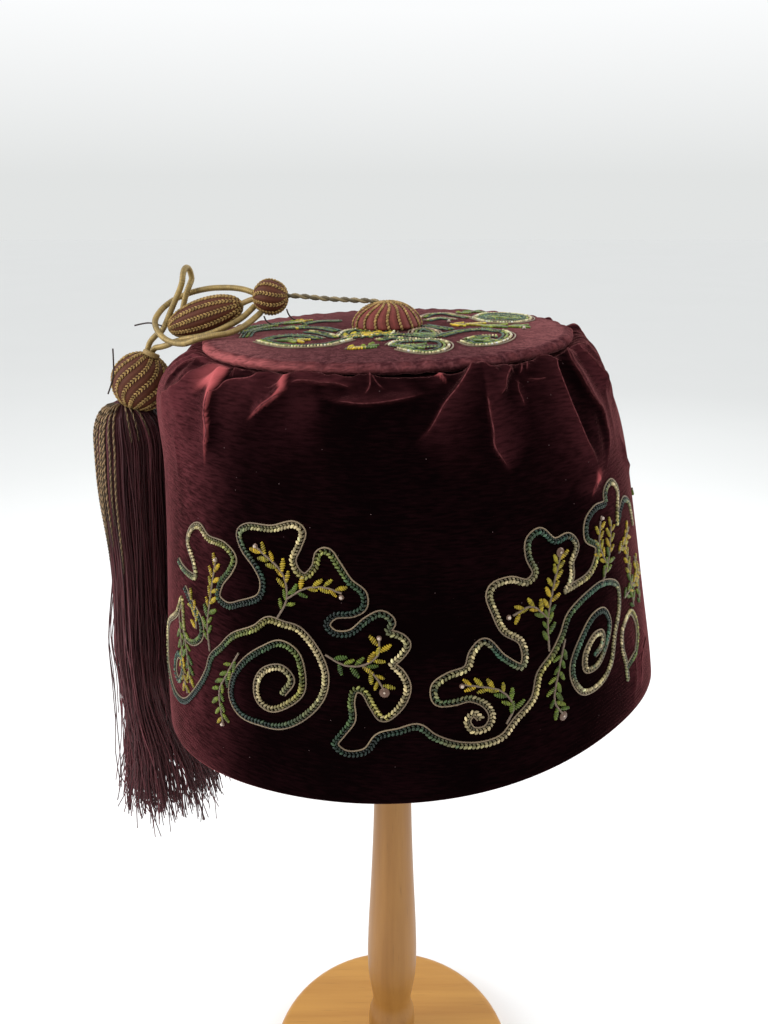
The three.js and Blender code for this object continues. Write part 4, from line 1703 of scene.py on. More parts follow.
DYES: dict[str, Colour] = {
    "ivory": (0.45, 0.39, 0.235), "cream": (0.36, 0.29, 0.16), "straw": (0.32, 0.26, 0.13),
    "khaki": (0.22, 0.2, 0.09), "olive": (0.24, 0.21, 0.055), "drab": (0.14, 0.13, 0.055),
    "moss": (0.10, 0.125, 0.03), "reed": (0.09, 0.12, 0.07), "sage": (0.05, 0.075, 0.035),
    "sea": (0.04, 0.085, 0.05), "green": (0.028, 0.055, 0.022), "teal": (0.012, 0.04, 0.026),
    "pine": (0.010, 0.024, 0.015), "ink": (0.005, 0.011, 0.009), "tan": (0.20, 0.145, 0.09),
    "fawn": (0.15, 0.11, 0.07), "sand": (0.23, 0.17, 0.10), "mustard": (0.40, 0.265, 0.012),
    "amber": (0.33, 0.24, 0.013), "lichen": (0.25, 0.215, 0.016), "lime": (0.20, 0.27, 0.02),
    "fern": (0.10, 0.17, 0.02), "lemon": (0.30, 0.33, 0.03), "holly": (0.05, 0.10, 0.03),
    "leaf": (0.09, 0.135, 0.013), "ivy": (0.04, 0.08, 0.013), "sprout": (0.15, 0.18, 0.018),
}


class Shade(Enum):
    """Run of dyes along a stitched line."""

    VARIEGATED = "cream straw olive moss green pine ink pine sage khaki"
    RAMBLING = (
        "cream straw pine teal sage drab cream drab straw cream sage teal straw khaki green drab cream straw"
    )
    SCROLL = "sea teal reed khaki straw khaki straw cream sage sea pine pine sea straw cream cream"
    CREAM = "ivory straw ivory khaki"
    TEAL = "teal sea ink reed"
    TAN = "tan fawn sand"
    MUSTARD = "mustard amber lichen"
    LIME = "lime fern lemon holly"
    LEAF = "leaf ivy sprout"

    def along(self, walked: Array, period: float, phase: float = 0.0) -> Array:
        """Colours at distances along a line.

        Args:
            walked: The distances.
            period: Distance after which the run comes round.
            phase: Share of the run that lies before the line's start.

        Returns:
            One colour for each distance.
        """
        names = self.value.split()
        stops = np.array([DYES[name] for name in (*names, names[0])])
        at = np.mod(walked / period + phase, 1.0) * len(names)
        return np.stack([np.interp(at, np.arange(len(stops)), channel) for channel in stops.T], axis=1)


@dataclass(frozen=True)
class StitchRow:
    """Row of stitches in a braid: half sizes and shift to the edging in mm, slant in degrees, brightness.

    A row without a shade of its own takes its line's.
    """

    half: Point
    shift: float
    slant: float
    bright: float
    shade: Shade | None = None


@dataclass
class WallGround:
    """The side wall as ground for embroidery, laid out flat in mm round and down."""

    side: CrownSide
    turn: float = 0.0
    pitch: float = 1.22
    leaf_scale: float = 1.0
    leaf_bright: float = 1.0
    leaf_spacing: float = 1.8
    rows: tuple[StitchRow, ...] = (
        StitchRow((0.78, 0.48, 0.55), -0.25, 42.0, 1.15),
        StitchRow((0.58, 0.36, 0.4), 0.62, -30.0, 0.4),
    )
    scale: float = math.radians(1.0) * 88.0

    def chart(self, pixels: Sequence[Pixel]) -> Array:
        """Flat places of pixels of the photograph."""
        bearings, shares = self.side.meet(pixels)
        return np.stack([bearings * self.scale, self.side.length * (1.0 - shares)], axis=1)

    def spots(self, flat: Array) -> tuple[Array, Array]:
        """Bearings and shares of flat places."""
        return flat[:, 0] / self.scale + self.turn, 1.0 - flat[:, 1] / self.side.length

    def lay(self, flat: Array, offset: float) -> Array:
        """Points at a distance above flat places."""
        return self.side.points(*self.spots(flat), offset)

    def normals(self, flat: Array) -> Array:
        """Directions out of the ground at flat places."""
        return self.side.normals(*self.spots(flat))


@dataclass
class TopGround:
    """The top's upper face as ground for embroidery, laid out flat in its own plan."""

    tip: CrownTip
    pitch: float = 1.05
    leaf_scale: float = 1.3
    leaf_bright: float = 1.5
    leaf_spacing: float = 1.35
    rows: tuple[StitchRow, ...] = (
        StitchRow((0.38, 0.5, 0.52), 0.0, 25.0, 1.6),
        StitchRow((0.45, 0.5, 0.36), -1.3, -25.0, 0.75, Shade.LIME),
        StitchRow((0.45, 0.5, 0.32), -2.6, 25.0, 0.9, Shade.TEAL),
    )

    def chart(self, pixels: Sequence[Pixel]) -> Array:
        """Flat places of pixels of the photograph."""
        return self.tip.meet(pixels)

    def lay(self, flat: Array, offset: float) -> Array:
        """Points at a distance above flat places."""
        return self.tip.face(flat, offset)

    def normals(self, flat: Array) -> Array:
        """Directions out of the ground at flat places."""
        return np.repeat(unit(self.lay(flat[:1], 1.0) - self.lay(flat[:1], 0.0)), len(flat), axis=0)


Ground = WallGround | TopGround


class Jewel(Enum):
    """What is sewn on at the tip of a spray."""

    BEAD = "bead"
    SEQUIN = "sequin"


@dataclass(frozen=True)
class Outline:
    """Stitched line: pixels along it, its run of colours, the side of its edging and its period in mm.

    A period of 0 is the line's own length. The ending's run takes over from a share of the length.
    """

    pixels: tuple[Pixel, ...]
    shade: Shade = Shade.VARIEGATED
    edge: float = 1.0
    period: float = 46.0
    phase: float = 0.0
    ending: Shade | None = None
    ending_from: float = 1.0

    def colours(self, walked: Array, strayed: Array, own: Shade | None) -> Array:
        """Colours of one row of stitches.

        Args:
            walked: Distances along the line.
            strayed: Distances at which the colours are taken, a little off the others.
            own: The row's own run of colours, or none.

        Returns:
            One colour for each stitch.
        """
        length = walked[-1]
        tints = (own or self.shade).along(strayed, self.period or length, self.phase)
        if self.ending is None:
            return tints
        turn_at = self.ending_from * length
        ending = self.ending.along(np.maximum(strayed - turn_at, 0.0), length - turn_at)
        return np.where(walked[:, None] > turn_at, ending, tints)


@dataclass(frozen=True)
class Spray:
    """Leafy stem: pixels along it from base to tip, the share of it that is green and where leaves start."""

    pixels: tuple[Pixel, ...]
    green: float = 0.4
    start: float = 0.12


@dataclass(frozen=True)
class Strand:
    """Thin two-ply cord: diameter, spacing of its rings and pitch of its plies in mm, and their depth."""

    diameter: float
    step: float
    pitch: float
    depth: float

    def sew(self, path: Array, tint: Tint, draft: Draft) -> None:
        """Adds the cord along a path.

        Args:
            path: Points along its middle, a step apart.
            tint: One colour, or one for each point.
            draft: Where it goes.
        """
        turns = np.arange(len(path))[:, None] * self.step / self.pitch * math.tau
        swell = 1.0 + self.depth * np.cos(turns + 3 * ring_angles(THIN_SIDES))
        draft.tube(path, self.diameter / 2, THIN_SIDES, tint, swell)


@dataclass
class Embroidery:
    """Scrolls in chain-stitch braid with a tan edging, leaf sprays, beads and sequins."""

    side: CrownSide
    tip: CrownTip
    braid_lift: float = 0.35
    slant_stray: float = 7.0
    size_span: Span = (0.85, 1.15)
    dye_stray: float = 2.5
    dye_uneven: float = 0.42
    dye_span: Span = (0.35, 2.1)
    brightest: float = 0.7
    edging: Strand = Strand(0.5, 0.42, 1.3, 0.13)
    edging_offset: float = 1.3
    edging_lift: float = 0.2
    edging_period: float = 37.0
    stem: Strand = Strand(0.68, 0.5, 1.6, 0.16)
    stem_lift: float = 0.25
    stem_tan: Colour = (0.16, 0.115, 0.08)
    leaf_length: float = 3.7
    leaf_width: float = 1.85
    leaf_size: Span = (0.8, 1.15)
    leaf_ends: Span = (0.08, 0.9)
    leaf_lean: Span = (0.94, 0.34)
    leaf_half: Span = (0.31, 0.48)
    leaf_lift: float = 0.3
    leaf_uneven: Span = (0.5, 1.35)
    leaf_angle: float = 36.0
    leaf_stray: float = 14.0
    leaf_out: float = 0.55
    leaf_stitches: int = 6
    bare_tip: int = 4
    bead_radius: float = 0.6
    bead_facets: tuple[int, int] = (14, 8)
    bead_colour: Colour = (0.5, 0.4, 0.32)
    sequin_radius: float = 1.6
    sequin_half: float = 0.2
    sequin_facets: tuple[int, int] = (18, 6)
    sequin_colour: Colour = (0.12, 0.065, 0.042)
    slots: tuple[tuple[str, str], ...] = (
        ("braid", "braid"), ("edging", "gold_cord"), ("leaves", "leaf_silk"), ("stems", "leaf_silk"),
        ("beads", "beads"),
    )
    left_scroll: tuple[Pixel, ...] = (
        (282, 693), (290.6, 679.8), (282, 668.4), (266.7, 670.3), (259, 681.8), (260, 699), (270.5, 707.6),
        (287.8, 702.8), (300.2, 691.3), (301.1, 672.2), (295.4, 653), (282, 643.5), (264.8, 649.2),
        (247.6, 660.7), (236.1, 677.9), (234.2, 697), (241.8, 712.4), (261, 721.9), (280.1, 725.8),
        (303, 716.2), (320.3, 697), (324.1, 676), (316.5, 653), (299.2, 630), (284, 624.4), (270.5, 619.6),
        (257.1, 628.2), (236.1, 635.8), (224.6, 647.3), (215, 656.9), (211.2, 670.3), (201.7, 687.5),
        (188.3, 700.9), (178.7, 693.2), (172, 672), (170, 659), (169.1, 624.4), (178.7, 611),
        (183.5, 597.6), (188.3, 633.9), (195.9, 640.6), (204.5, 633.9), (203.6, 620.5), (194, 603.3),
        (186.4, 588),
    )
    lobed_outline: tuple[Pixel, ...] = (
        (178.7, 561.2), (184, 569), (197.8, 576.5), (195, 561.2), (188.3, 542.1), (191.1, 530.6),
        (199.7, 526.8), (209.3, 538.3), (226.5, 545.9), (236.1, 557.4), (232.3, 568.9), (222.7, 582.3),
        (220.8, 595.7), (230.4, 605.2), (243.8, 603.3), (262.9, 595.7), (265.8, 580.4), (259, 565),
        (245.7, 545.9), (241.8, 532.5), (249.5, 526.8), (274.4, 528.7), (295.4, 524.9), (303, 530.6),
        (299.2, 544), (293.5, 559.3), (299.2, 572.7), (306.9, 576.5), (316.5, 567), (320.3, 553.6),
        (327.9, 551.7), (337.5, 565), (349, 582.3), (362.4, 593.8), (362.4, 607.1), (352.8, 612.9),
        (333.7, 614.8), (326, 624.4), (333.7, 633.9), (350.9, 633.9), (368.1, 620.5), (381.5, 614.8),
        (391.1, 622.4), (387.2, 632), (400.6, 637.8), (406.4, 645.4), (398.7, 656.9), (391.1, 664.5),
        (400.6, 674.1), (406.4, 687.5), (400.6, 704.7), (383.4, 718.1), (373.9, 706.6), (364.3, 691.3),
        (354.7, 689.4), (350, 700.9), (350.9, 720), (341.3, 733.4), (333.7, 744.9), (345.2, 754.5),
        (366.2, 752.6), (379.6, 737.2), (398.7, 732.5), (417.9, 727.7), (433.2, 737.2), (455, 743.7),
        (481.6, 743.7), (502, 735.5), (514.3, 719.2), (532.7, 696.7), (538.8, 672.2), (551, 653.9),
        (561.2, 633.5), (567.3, 615.1), (583.7, 596.7), (602, 583.5), (616.3, 586.5), (618.4, 606.9),
        (614.3, 633.5), (610.2, 664.1), (600, 682.4), (583.7, 690.6), (573.5, 680.4), (571.4, 664.1),
        (579.6, 639.6), (591.8, 617.1), (602, 611), (608.2, 623.3), (604.1, 647.8), (595.9, 664.1),
        (585.7, 668.2), (584.7, 653.9), (593.9, 635.5), (601, 633.5), (601, 643.7), (593.9, 653.9),
    )
    right_outline: tuple[Pixel, ...] = (
        (563.3, 590.6), (569.4, 576.3), (569.4, 562), (574.5, 545.7), (567.3, 536.5), (553, 541.6),
        (538.8, 531.4), (528.6, 539.6), (528.6, 555.9), (534.7, 572.2), (526.5, 582.4), (510.2, 580.4),
        (493.9, 586.5), (489.8, 594.7), (495.9, 613.1), (504.1, 629.4), (520.4, 639.6), (524.5, 655.9),
        (520.4, 666.1), (502, 658), (483.7, 641.6), (473.5, 651.8), (467.3, 668.2), (449, 676.3),
        (435.7, 686.5), (437.8, 700.8), (453, 700.8), (469.4, 696.7), (485.7, 702.9), (491.8, 715.1),
        (485.7, 727.3), (471.4, 729.4), (465.3, 719.2), (473.5, 711), (480, 716),
    )
    right_edge: tuple[Pixel, ...] = (
        (563.3, 590.6), (587.8, 574.3), (593.9, 562), (595.9, 545.7), (585.7, 537.6), (585.7, 521.2),
        (593.9, 509), (604.1, 502.9), (604.1, 490.6), (610.2, 482.4), (616.3, 490.6), (616.3, 506.9),
        (616.3, 523.3),
    )
    right_tip: tuple[Pixel, ...] = ((616.3, 523.3), (622.4, 500.8), (628, 503), (630, 512), (632, 524))
    right_loop: tuple[Pixel, ...] = (
        (628.6, 680), (626.5, 664), (622.4, 647.8), (622.4, 629.4), (630.6, 611), (637, 622), (638, 640),
        (634, 656), (628, 668),
    )
    left_loop: tuple[Pixel, ...] = (
        (181, 652), (185, 658), (186, 672), (182, 680), (178.5, 670), (178.5, 658), (181, 652),
    )
    wall_sprays: tuple[Spray, ...] = (
        Spray(((213, 650), (211, 625), (213, 600), (218, 559)), 0.45),
        Spray(((279, 617), (288, 598), (284, 572), (258, 545)), 0.35),
        Spray(((288, 598), (306, 588), (325, 587), (342, 593)), 0.25),
        Spray(((325, 655), (345, 666), (365, 665), (378, 655), (379, 641)), 0.5),
        Spray(((362, 666), (374, 676), (384.4, 691)), 0.1),
        Spray(((241, 652), (230, 672), (222, 690), (224.6, 721)), 0.9),
        Spray(((547, 650), (546, 620), (551, 590), (559, 554)), 0.4),
        Spray(((547, 618), (530, 606), (512, 615)), 0.1),
        Spray(((505, 722), (512, 706), (500, 690), (464, 684)), 0.4),
        Spray(((563, 638), (557, 668), (553, 700), (561, 713)), 1.0),
        Spray(((600, 585), (607, 560), (610, 520)), 0.45),
        Spray(((606, 566), (598, 545), (599, 521)), 0.1),
        Spray(((181, 612), (184, 640), (186, 666), (191, 692)), 0.5),
        Spray(((634, 606), (630, 580), (624, 546)), 0.45, 0.0),
        Spray(((640, 602), (637, 580), (634, 556)), 0.3, 0.0),
        Spray(((624, 598), (632, 585), (639, 568)), 0.2, 0.0),
        Spray(((618, 553), (624, 540), (628, 527)), 0.0, 0.0),
        Spray(((200, 628), (197, 610), (190, 592)), 0.0, 0.02),
        Spray(((186, 625), (190, 650), (194, 682)), 0.75),
        Spray(((637, 495), (641, 488)), 1.0, 0.0),
    )
    wall_jewels: tuple[tuple[Jewel, Pixel], ...] = (
        (Jewel.BEAD, (218, 559)), (Jewel.BEAD, (258, 545)), (Jewel.BEAD, (341.5, 597)),
        (Jewel.BEAD, (379, 638.7)), (Jewel.SEQUIN, (384.4, 693.2)), (Jewel.BEAD, (224.6, 723)),
        (Jewel.SEQUIN, (559, 552)), (Jewel.BEAD, (508, 617)), (Jewel.BEAD, (461.6, 685.5)),
        (Jewel.SEQUIN, (561.8, 715)), (Jewel.BEAD, (600, 518)),
    )
    top_outlines: tuple[Outline, ...] = (
        Outline(((242, 333.5), (250, 326.6), (269.5, 324.6), (290, 322.5)), Shade.TEAL, 1.0, 12.0),
        Outline(
            ((243, 337), (250, 331.5), (270, 329.5), (300, 329), (325, 330), (339, 333)),
            Shade.TEAL, 1.0, 16.0,
        ),
        Outline(((303, 325), (320, 322.5), (341, 322.7)), Shade.TEAL, 1.0, 9.0),
        Outline(
            ((257, 341), (270, 344.5), (289, 347), (309, 347), (329, 346), (341, 343.5), (352, 341)),
            Shade.CREAM, -1.0, 9.0,
        ),
        Outline(
            ((262, 340.5), (275, 337.5), (291, 336.5), (309, 337.5), (322, 340)),
            Shade.TEAL, 1.0, 14.0,
        ),
        Outline(((310, 333), (326, 335.5), (340, 339)), Shade.VARIEGATED, 1.0, 14.0),
        Outline(
            ((339, 337.5), (345, 333.5), (358, 331.6), (372, 333.5), (380, 331), (393, 332.5),
             (391, 337.5)),
            Shade.CREAM, 1.0, 8.0,
        ),
        Outline(((345, 340), (356, 337), (366, 339), (378, 336)), Shade.VARIEGATED, 1.0, 12.0),
        Outline(((377, 341.5), (392, 339.5), (410, 340.5), (430, 342)), Shade.VARIEGATED, 1.0, 9.0),
        Outline(
            ((389, 346), (396, 343), (412, 342), (428, 341), (443, 342), (449, 346), (443, 350),
             (428, 352.5), (412, 351.5), (398, 349)),
            Shade.CREAM, 1.0, 10.0,
        ),
        Outline(((396, 346), (409, 347), (424, 347), (438, 346.5)), Shade.TEAL, 1.0, 10.0),
        Outline(((385, 338), (398, 336.5), (418, 337.5), (436, 339)), Shade.TEAL, 1.0, 12.0),
        Outline(((412, 335.5), (414, 332.5), (424, 330.6), (435.5, 333), (439.5, 336.5)), Shade.TAN),
        Outline(((437, 338), (450, 334.5), (467, 331.5), (485, 330.5), (500, 332)), Shade.TEAL, 1.0, 12.0),
        Outline(
            ((461, 342), (473, 345), (491, 344), (507, 339.5), (511, 334.5), (503, 331)),
            Shade.CREAM, -1.0, 8.0,
        ),
        Outline(((466, 340), (480, 337), (496, 336.5)), Shade.VARIEGATED, 1.0, 10.0),
        Outline(((421, 319), (430, 315), (445, 314), (458, 316.5), (470, 318.5)), Shade.TAN),
        Outline(((425, 322.5), (440, 319.5), (455, 321)), Shade.TAN),
        Outline(
            ((480, 318), (490, 315.8), (505, 314.8), (520, 316.2), (524, 318.5), (512, 320.2),
             (494, 320.2), (480, 318)),
            Shade.TEAL, 1.0, 10.0,
        ),
        Outline(
            ((473, 319), (485, 313.4), (507, 312.4), (526, 314.5), (530, 319), (512, 322.8), (488, 322.8),
             (473, 319)),
            Shade.CREAM, 1.0, 8.0,
        ),
        Outline(((428, 327.6), (440, 329.5), (452, 331)), Shade.TEAL, 1.0, 9.0),
    )
    top_sprays: tuple[Spray, ...] = (
        Spray(((345, 349.5), (352, 348.5), (360, 347.5)), 0.0, 0.0),
        Spray(((361, 349), (367, 347.5), (375, 346)), 1.0, 0.0),
        Spray(((450, 326), (465, 326), (481, 325.6)), 0.0, 0.0),
        Spray(((480, 327), (490, 327), (506, 326.5)), 1.0, 0.0),
        Spray(((507, 327), (515, 326.5), (524, 326)), 1.0, 0.0),
        Spray(((456, 313.5), (466, 312), (478, 311)), 1.0, 0.0),
        Spray(((282, 324.5), (293, 323), (306, 321)), 0.4, 0.0),
        Spray(((272, 341), (288, 341), (304, 342)), 0.6),
        Spray(((352, 335), (368, 336), (384, 335)), 0.2),
        Spray(((245, 332), (258, 328), (272, 326)), 1.0, 0.0),
        Spray(((282, 329), (292, 328.5), (302, 329)), 0.5, 0.0),
        Spray(((343, 339), (356, 337), (372, 337)), 0.0, 0.0),
        Spray(((397, 346.5), (410, 347), (423, 346.5)), 1.0, 0.0),
        Spray(((413, 335.5), (425, 336), (438, 337)), 1.0, 0.0),
        Spray(((488, 318), (500, 317.6), (515, 318)), 1.0, 0.0),
        Spray(((380, 337), (386, 336.5), (392, 336)), 0.0, 0.0),
        Spray(((470, 341), (482, 340.5), (494, 339.5)), 1.0, 0.0),
    )
    top_jewels: tuple[tuple[Jewel, Pixel], ...] = ((Jewel.BEAD, (448.8, 324)), (Jewel.BEAD, (524, 329)))

    def braid(self, ground: Ground, outline: Outline, braid: Draft, edging: Draft) -> None:
        """Adds one line of braid in rows of slanting stitches, and its edging.

        Args:
            ground: What it is sewn on.
            outline: The line.
            braid: Where the stitches go.
            edging: Where the edging goes.
        """
        flat = spline(ground.chart(outline.pixels), ground.pitch)
        count = len(flat)
        normals = ground.normals(flat)
        places = ground.lay(flat, self.braid_lift)
        across = unit(ground.lay(flat + beside(flat) * outline.edge / 2, self.braid_lift) - places)
        ways = unit(np.cross(across, normals))
        walked = np.arange(count) * ground.pitch
        rng = np.random.default_rng(SEED + count)
        for row in ground.rows:
            slant = np.radians(row.slant + rng.normal(0, self.slant_stray, count))
            half = np.array(row.half)[:, None, None] * rng.uniform(*self.size_span, (3, count, 1))
            tints = outline.colours(walked, walked + rng.normal(0, self.dye_stray, count), row.shade)
            uneven = np.exp(rng.normal(0.0, self.dye_uneven, (count, 1))).clip(*self.dye_span)
            tints = np.minimum(tints * uneven * row.bright, self.brightest)
            braid.stitches(places + across * row.shift, around(slant, ways, across), normals, half, tints)
        fine = spline(flat, self.edging.step)
        path = ground.lay(fine + beside(fine) * self.edging_offset * outline.edge, self.edging_lift)
        tan = Shade.TAN.along(np.arange(len(path)) * self.edging.step, self.edging_period)
        self.edging.sew(path, tan, edging)

    def leaf(self, ground: Ground, root: Array, way: Array, shade: Array, draft: Draft, rng: Chance) -> None:
        """Adds one leaf of slanting stitches.

        Args:
            ground: What it is sewn on.
            root: Flat place of its root.
            way: Flat direction to its tip.
            shade: Its colour.
            draft: Where the stitches go.
            rng: Source of chance.
        """
        shares = (np.arange(self.leaf_stitches) + 0.5) / self.leaf_stitches
        size = ground.leaf_scale * rng.uniform(*self.leaf_size)
        width = self.leaf_width * size / 2 * (0.35 + 0.65 * np.sin(math.pi * shares.clip(*self.leaf_ends)))
        flat = root + way * self.leaf_length * size * shares[:, None]
        out, ahead = self.leaf_lean
        reach = (np.array((-way[1], way[0])) * out + way * ahead) * width[:, None]
        ends = ground.lay(flat + reach, self.stem_lift) - ground.lay(flat - reach, self.stem_lift)
        narrow, thick = self.leaf_half
        half = (np.linalg.norm(ends, axis=1, keepdims=True) / 2, narrow * size, thick)
        tints = shade * ground.leaf_bright * rng.uniform(*self.leaf_uneven, (len(flat), 1))
        draft.stitches(ground.lay(flat, self.leaf_lift), unit(ends), ground.normals(flat), half, tints)

    def spray(self, ground: Ground, spray: Spray, leaves: Draft, stems: Draft) -> None:
        """Adds a stem with its leaves, placed in turn on its two sides.

        Args:
            ground: What it is sewn on.
            spray: The stem.
            leaves: Where the leaves go.
            stems: Where the stem goes.
        """
        flat = spline(ground.chart(spray.pixels), self.stem.step)
        rng = np.random.default_rng(SEED + int(spray.pixels[0][0] * 10))
        self.stem.sew(ground.lay(flat, self.stem_lift), self.stem_tan, stems)
        heading, left = unit(np.gradient(flat, axis=0)), beside(flat)
        gap = ground.leaf_spacing / self.stem.step
        spots = np.arange(spray.start * len(flat), len(flat) - self.bare_tip, gap)
        for number, spot in enumerate(spots.astype(int)):
            stray = rng.uniform(-self.leaf_stray, self.leaf_stray)
            angle = math.radians(self.leaf_angle + stray) * (1 if number % 2 else -1)
            way = heading[spot] * math.cos(angle) + left[spot] * math.sin(angle)
            named = Shade.LEAF if spot / len(flat) < spray.green else Shade.MUSTARD
            shade = named.along(np.array([rng.uniform(0, 1)]), 1.0)[0]
            self.leaf(ground, flat[spot] + way * self.leaf_out, way, shade, leaves, rng)

    def jewel(self, ground: Ground, kind: Jewel, pixel: Pixel, draft: Draft) -> None:
        """Adds a bead on a small disc, or a sequin held by a smaller bead.

        Args:
            ground: What it is sewn on.
            kind: Which of the two.
            pixel: Its pixel in the photograph.
            draft: Where it goes.
        """
        flat = ground.chart([pixel])
        axes = axes_along(ground.normals(flat)[0])[:, (2, 0, 1)]
        sequin = kind is Jewel.SEQUIN
        wide = self.sequin_radius if sequin else self.bead_radius * 1.4
        size = self.bead_radius * (0.6 if sequin else 0.9)
        disc = axes * np.array((self.sequin_half, wide, wide))
        draft.copies(ball(*self.sequin_facets), disc[None], ground.lay(flat, 0.3), self.sequin_colour)
        bead = ground.lay(flat, 0.4 + size * 0.6)
        draft.copies(ball(*self.bead_facets), axes[None] * size, bead, self.bead_colour)

    def sew(
        self, name: str, ground: Ground, finishes: Sequence[Material], outlines: Sequence[Outline],
        sprays: Sequence[Spray], jewels: Sequence[tuple[Jewel, Pixel]],
    ) -> list[Piece]:
        """Sews all the embroidery of one ground.

        Args:
            name: First word of the pieces' names.
            ground: What it is sewn on.
            finishes: Materials of the braid, edging, leaves, stems and beads.
            outlines: Lines of braid.
            sprays: Leafy stems.
            jewels: Beads and sequins with their pixels.

        Returns:
            The pieces, in the order of their materials.
        """
        drafts = [Draft() for _ in finishes]
        braid, edging, leaves, stems, beads = drafts
        for outline in outlines:
            self.braid(ground, outline, braid, edging)
        for spray in sprays:
            self.spray(ground, spray, leaves, stems)
        for kind, pixel in jewels:
            self.jewel(ground, kind, pixel, beads)
        pieces = []
        for draft, finish, (part, slot) in zip(drafts, finishes, self.slots):
            piece = draft.build(f"{name}_{part}", finish)
            pieces.append(piece)
        return pieces

    def build(self) -> list[Piece]:
        """Embroidery of the front, of the back, where it is repeated, and of the top.

        Returns:
            All its pieces.
        """
        silk = Thread("braid_silk", 0.3, 0.0, 0.0, specular=0.3).make()
        cord = Thread("edging_cord", 0.5, 0.1, 0.05, specular=0.3).make()
        leaf = Thread("leaf_silk", 0.34, 0.0, 0.06, specular=0.3).make()
        pearl = Thread("pearl", 0.16, 0.25, 0.0, unevenness=0.1, fibre_depth=0.00001).make()
        finishes = (silk, cord, leaf, cord, pearl)
        wall = (
            Outline(self.left_scroll, Shade.VARIEGATED, 1.0, 125.0, 0.85),
            Outline(self.lobed_outline, Shade.VARIEGATED, -1.0, 112.0, 0.77, Shade.SCROLL, 0.73),
            Outline(self.right_outline, Shade.RAMBLING, 1.0, 0.0),
            Outline(self.right_edge, Shade.VARIEGATED, -1.0, 60.0, 0.95),
            Outline(self.right_tip, Shade.VARIEGATED, -1.0, 50.0, 0.5),
            Outline(self.right_loop, Shade.VARIEGATED, 1.0, 108.0, 0.85),
            Outline(self.left_loop, Shade.TEAL, 1.0, 20.0),
        )
        pieces = []
        for name, turn in (("front", 0.0), ("back", 180.0)):
            ground = WallGround(self.side, turn)
            pieces += self.sew(name, ground, finishes, wall, self.wall_sprays, self.wall_jewels)
        top = (self.top_outlines, self.top_sprays, self.top_jewels)
        return pieces + self.sew("top", TopGround(self.tip), finishes, *top)


# Knobs, button and tassel


@dataclass(frozen=True)
class Rib:
    """Dotted gold cord on a wrapped body: how many ribs, their stitches and their slight turn."""

    count: int
    pitch: float = 1.15
    half: Point = (0.72, 0.34, 0.38)
    slant: float = 34.0
    bend: float = 0.0
    rows: int = 2
    row_gap: float = 0.36
    gold: Colour = (0.33, 0.21, 0.075)


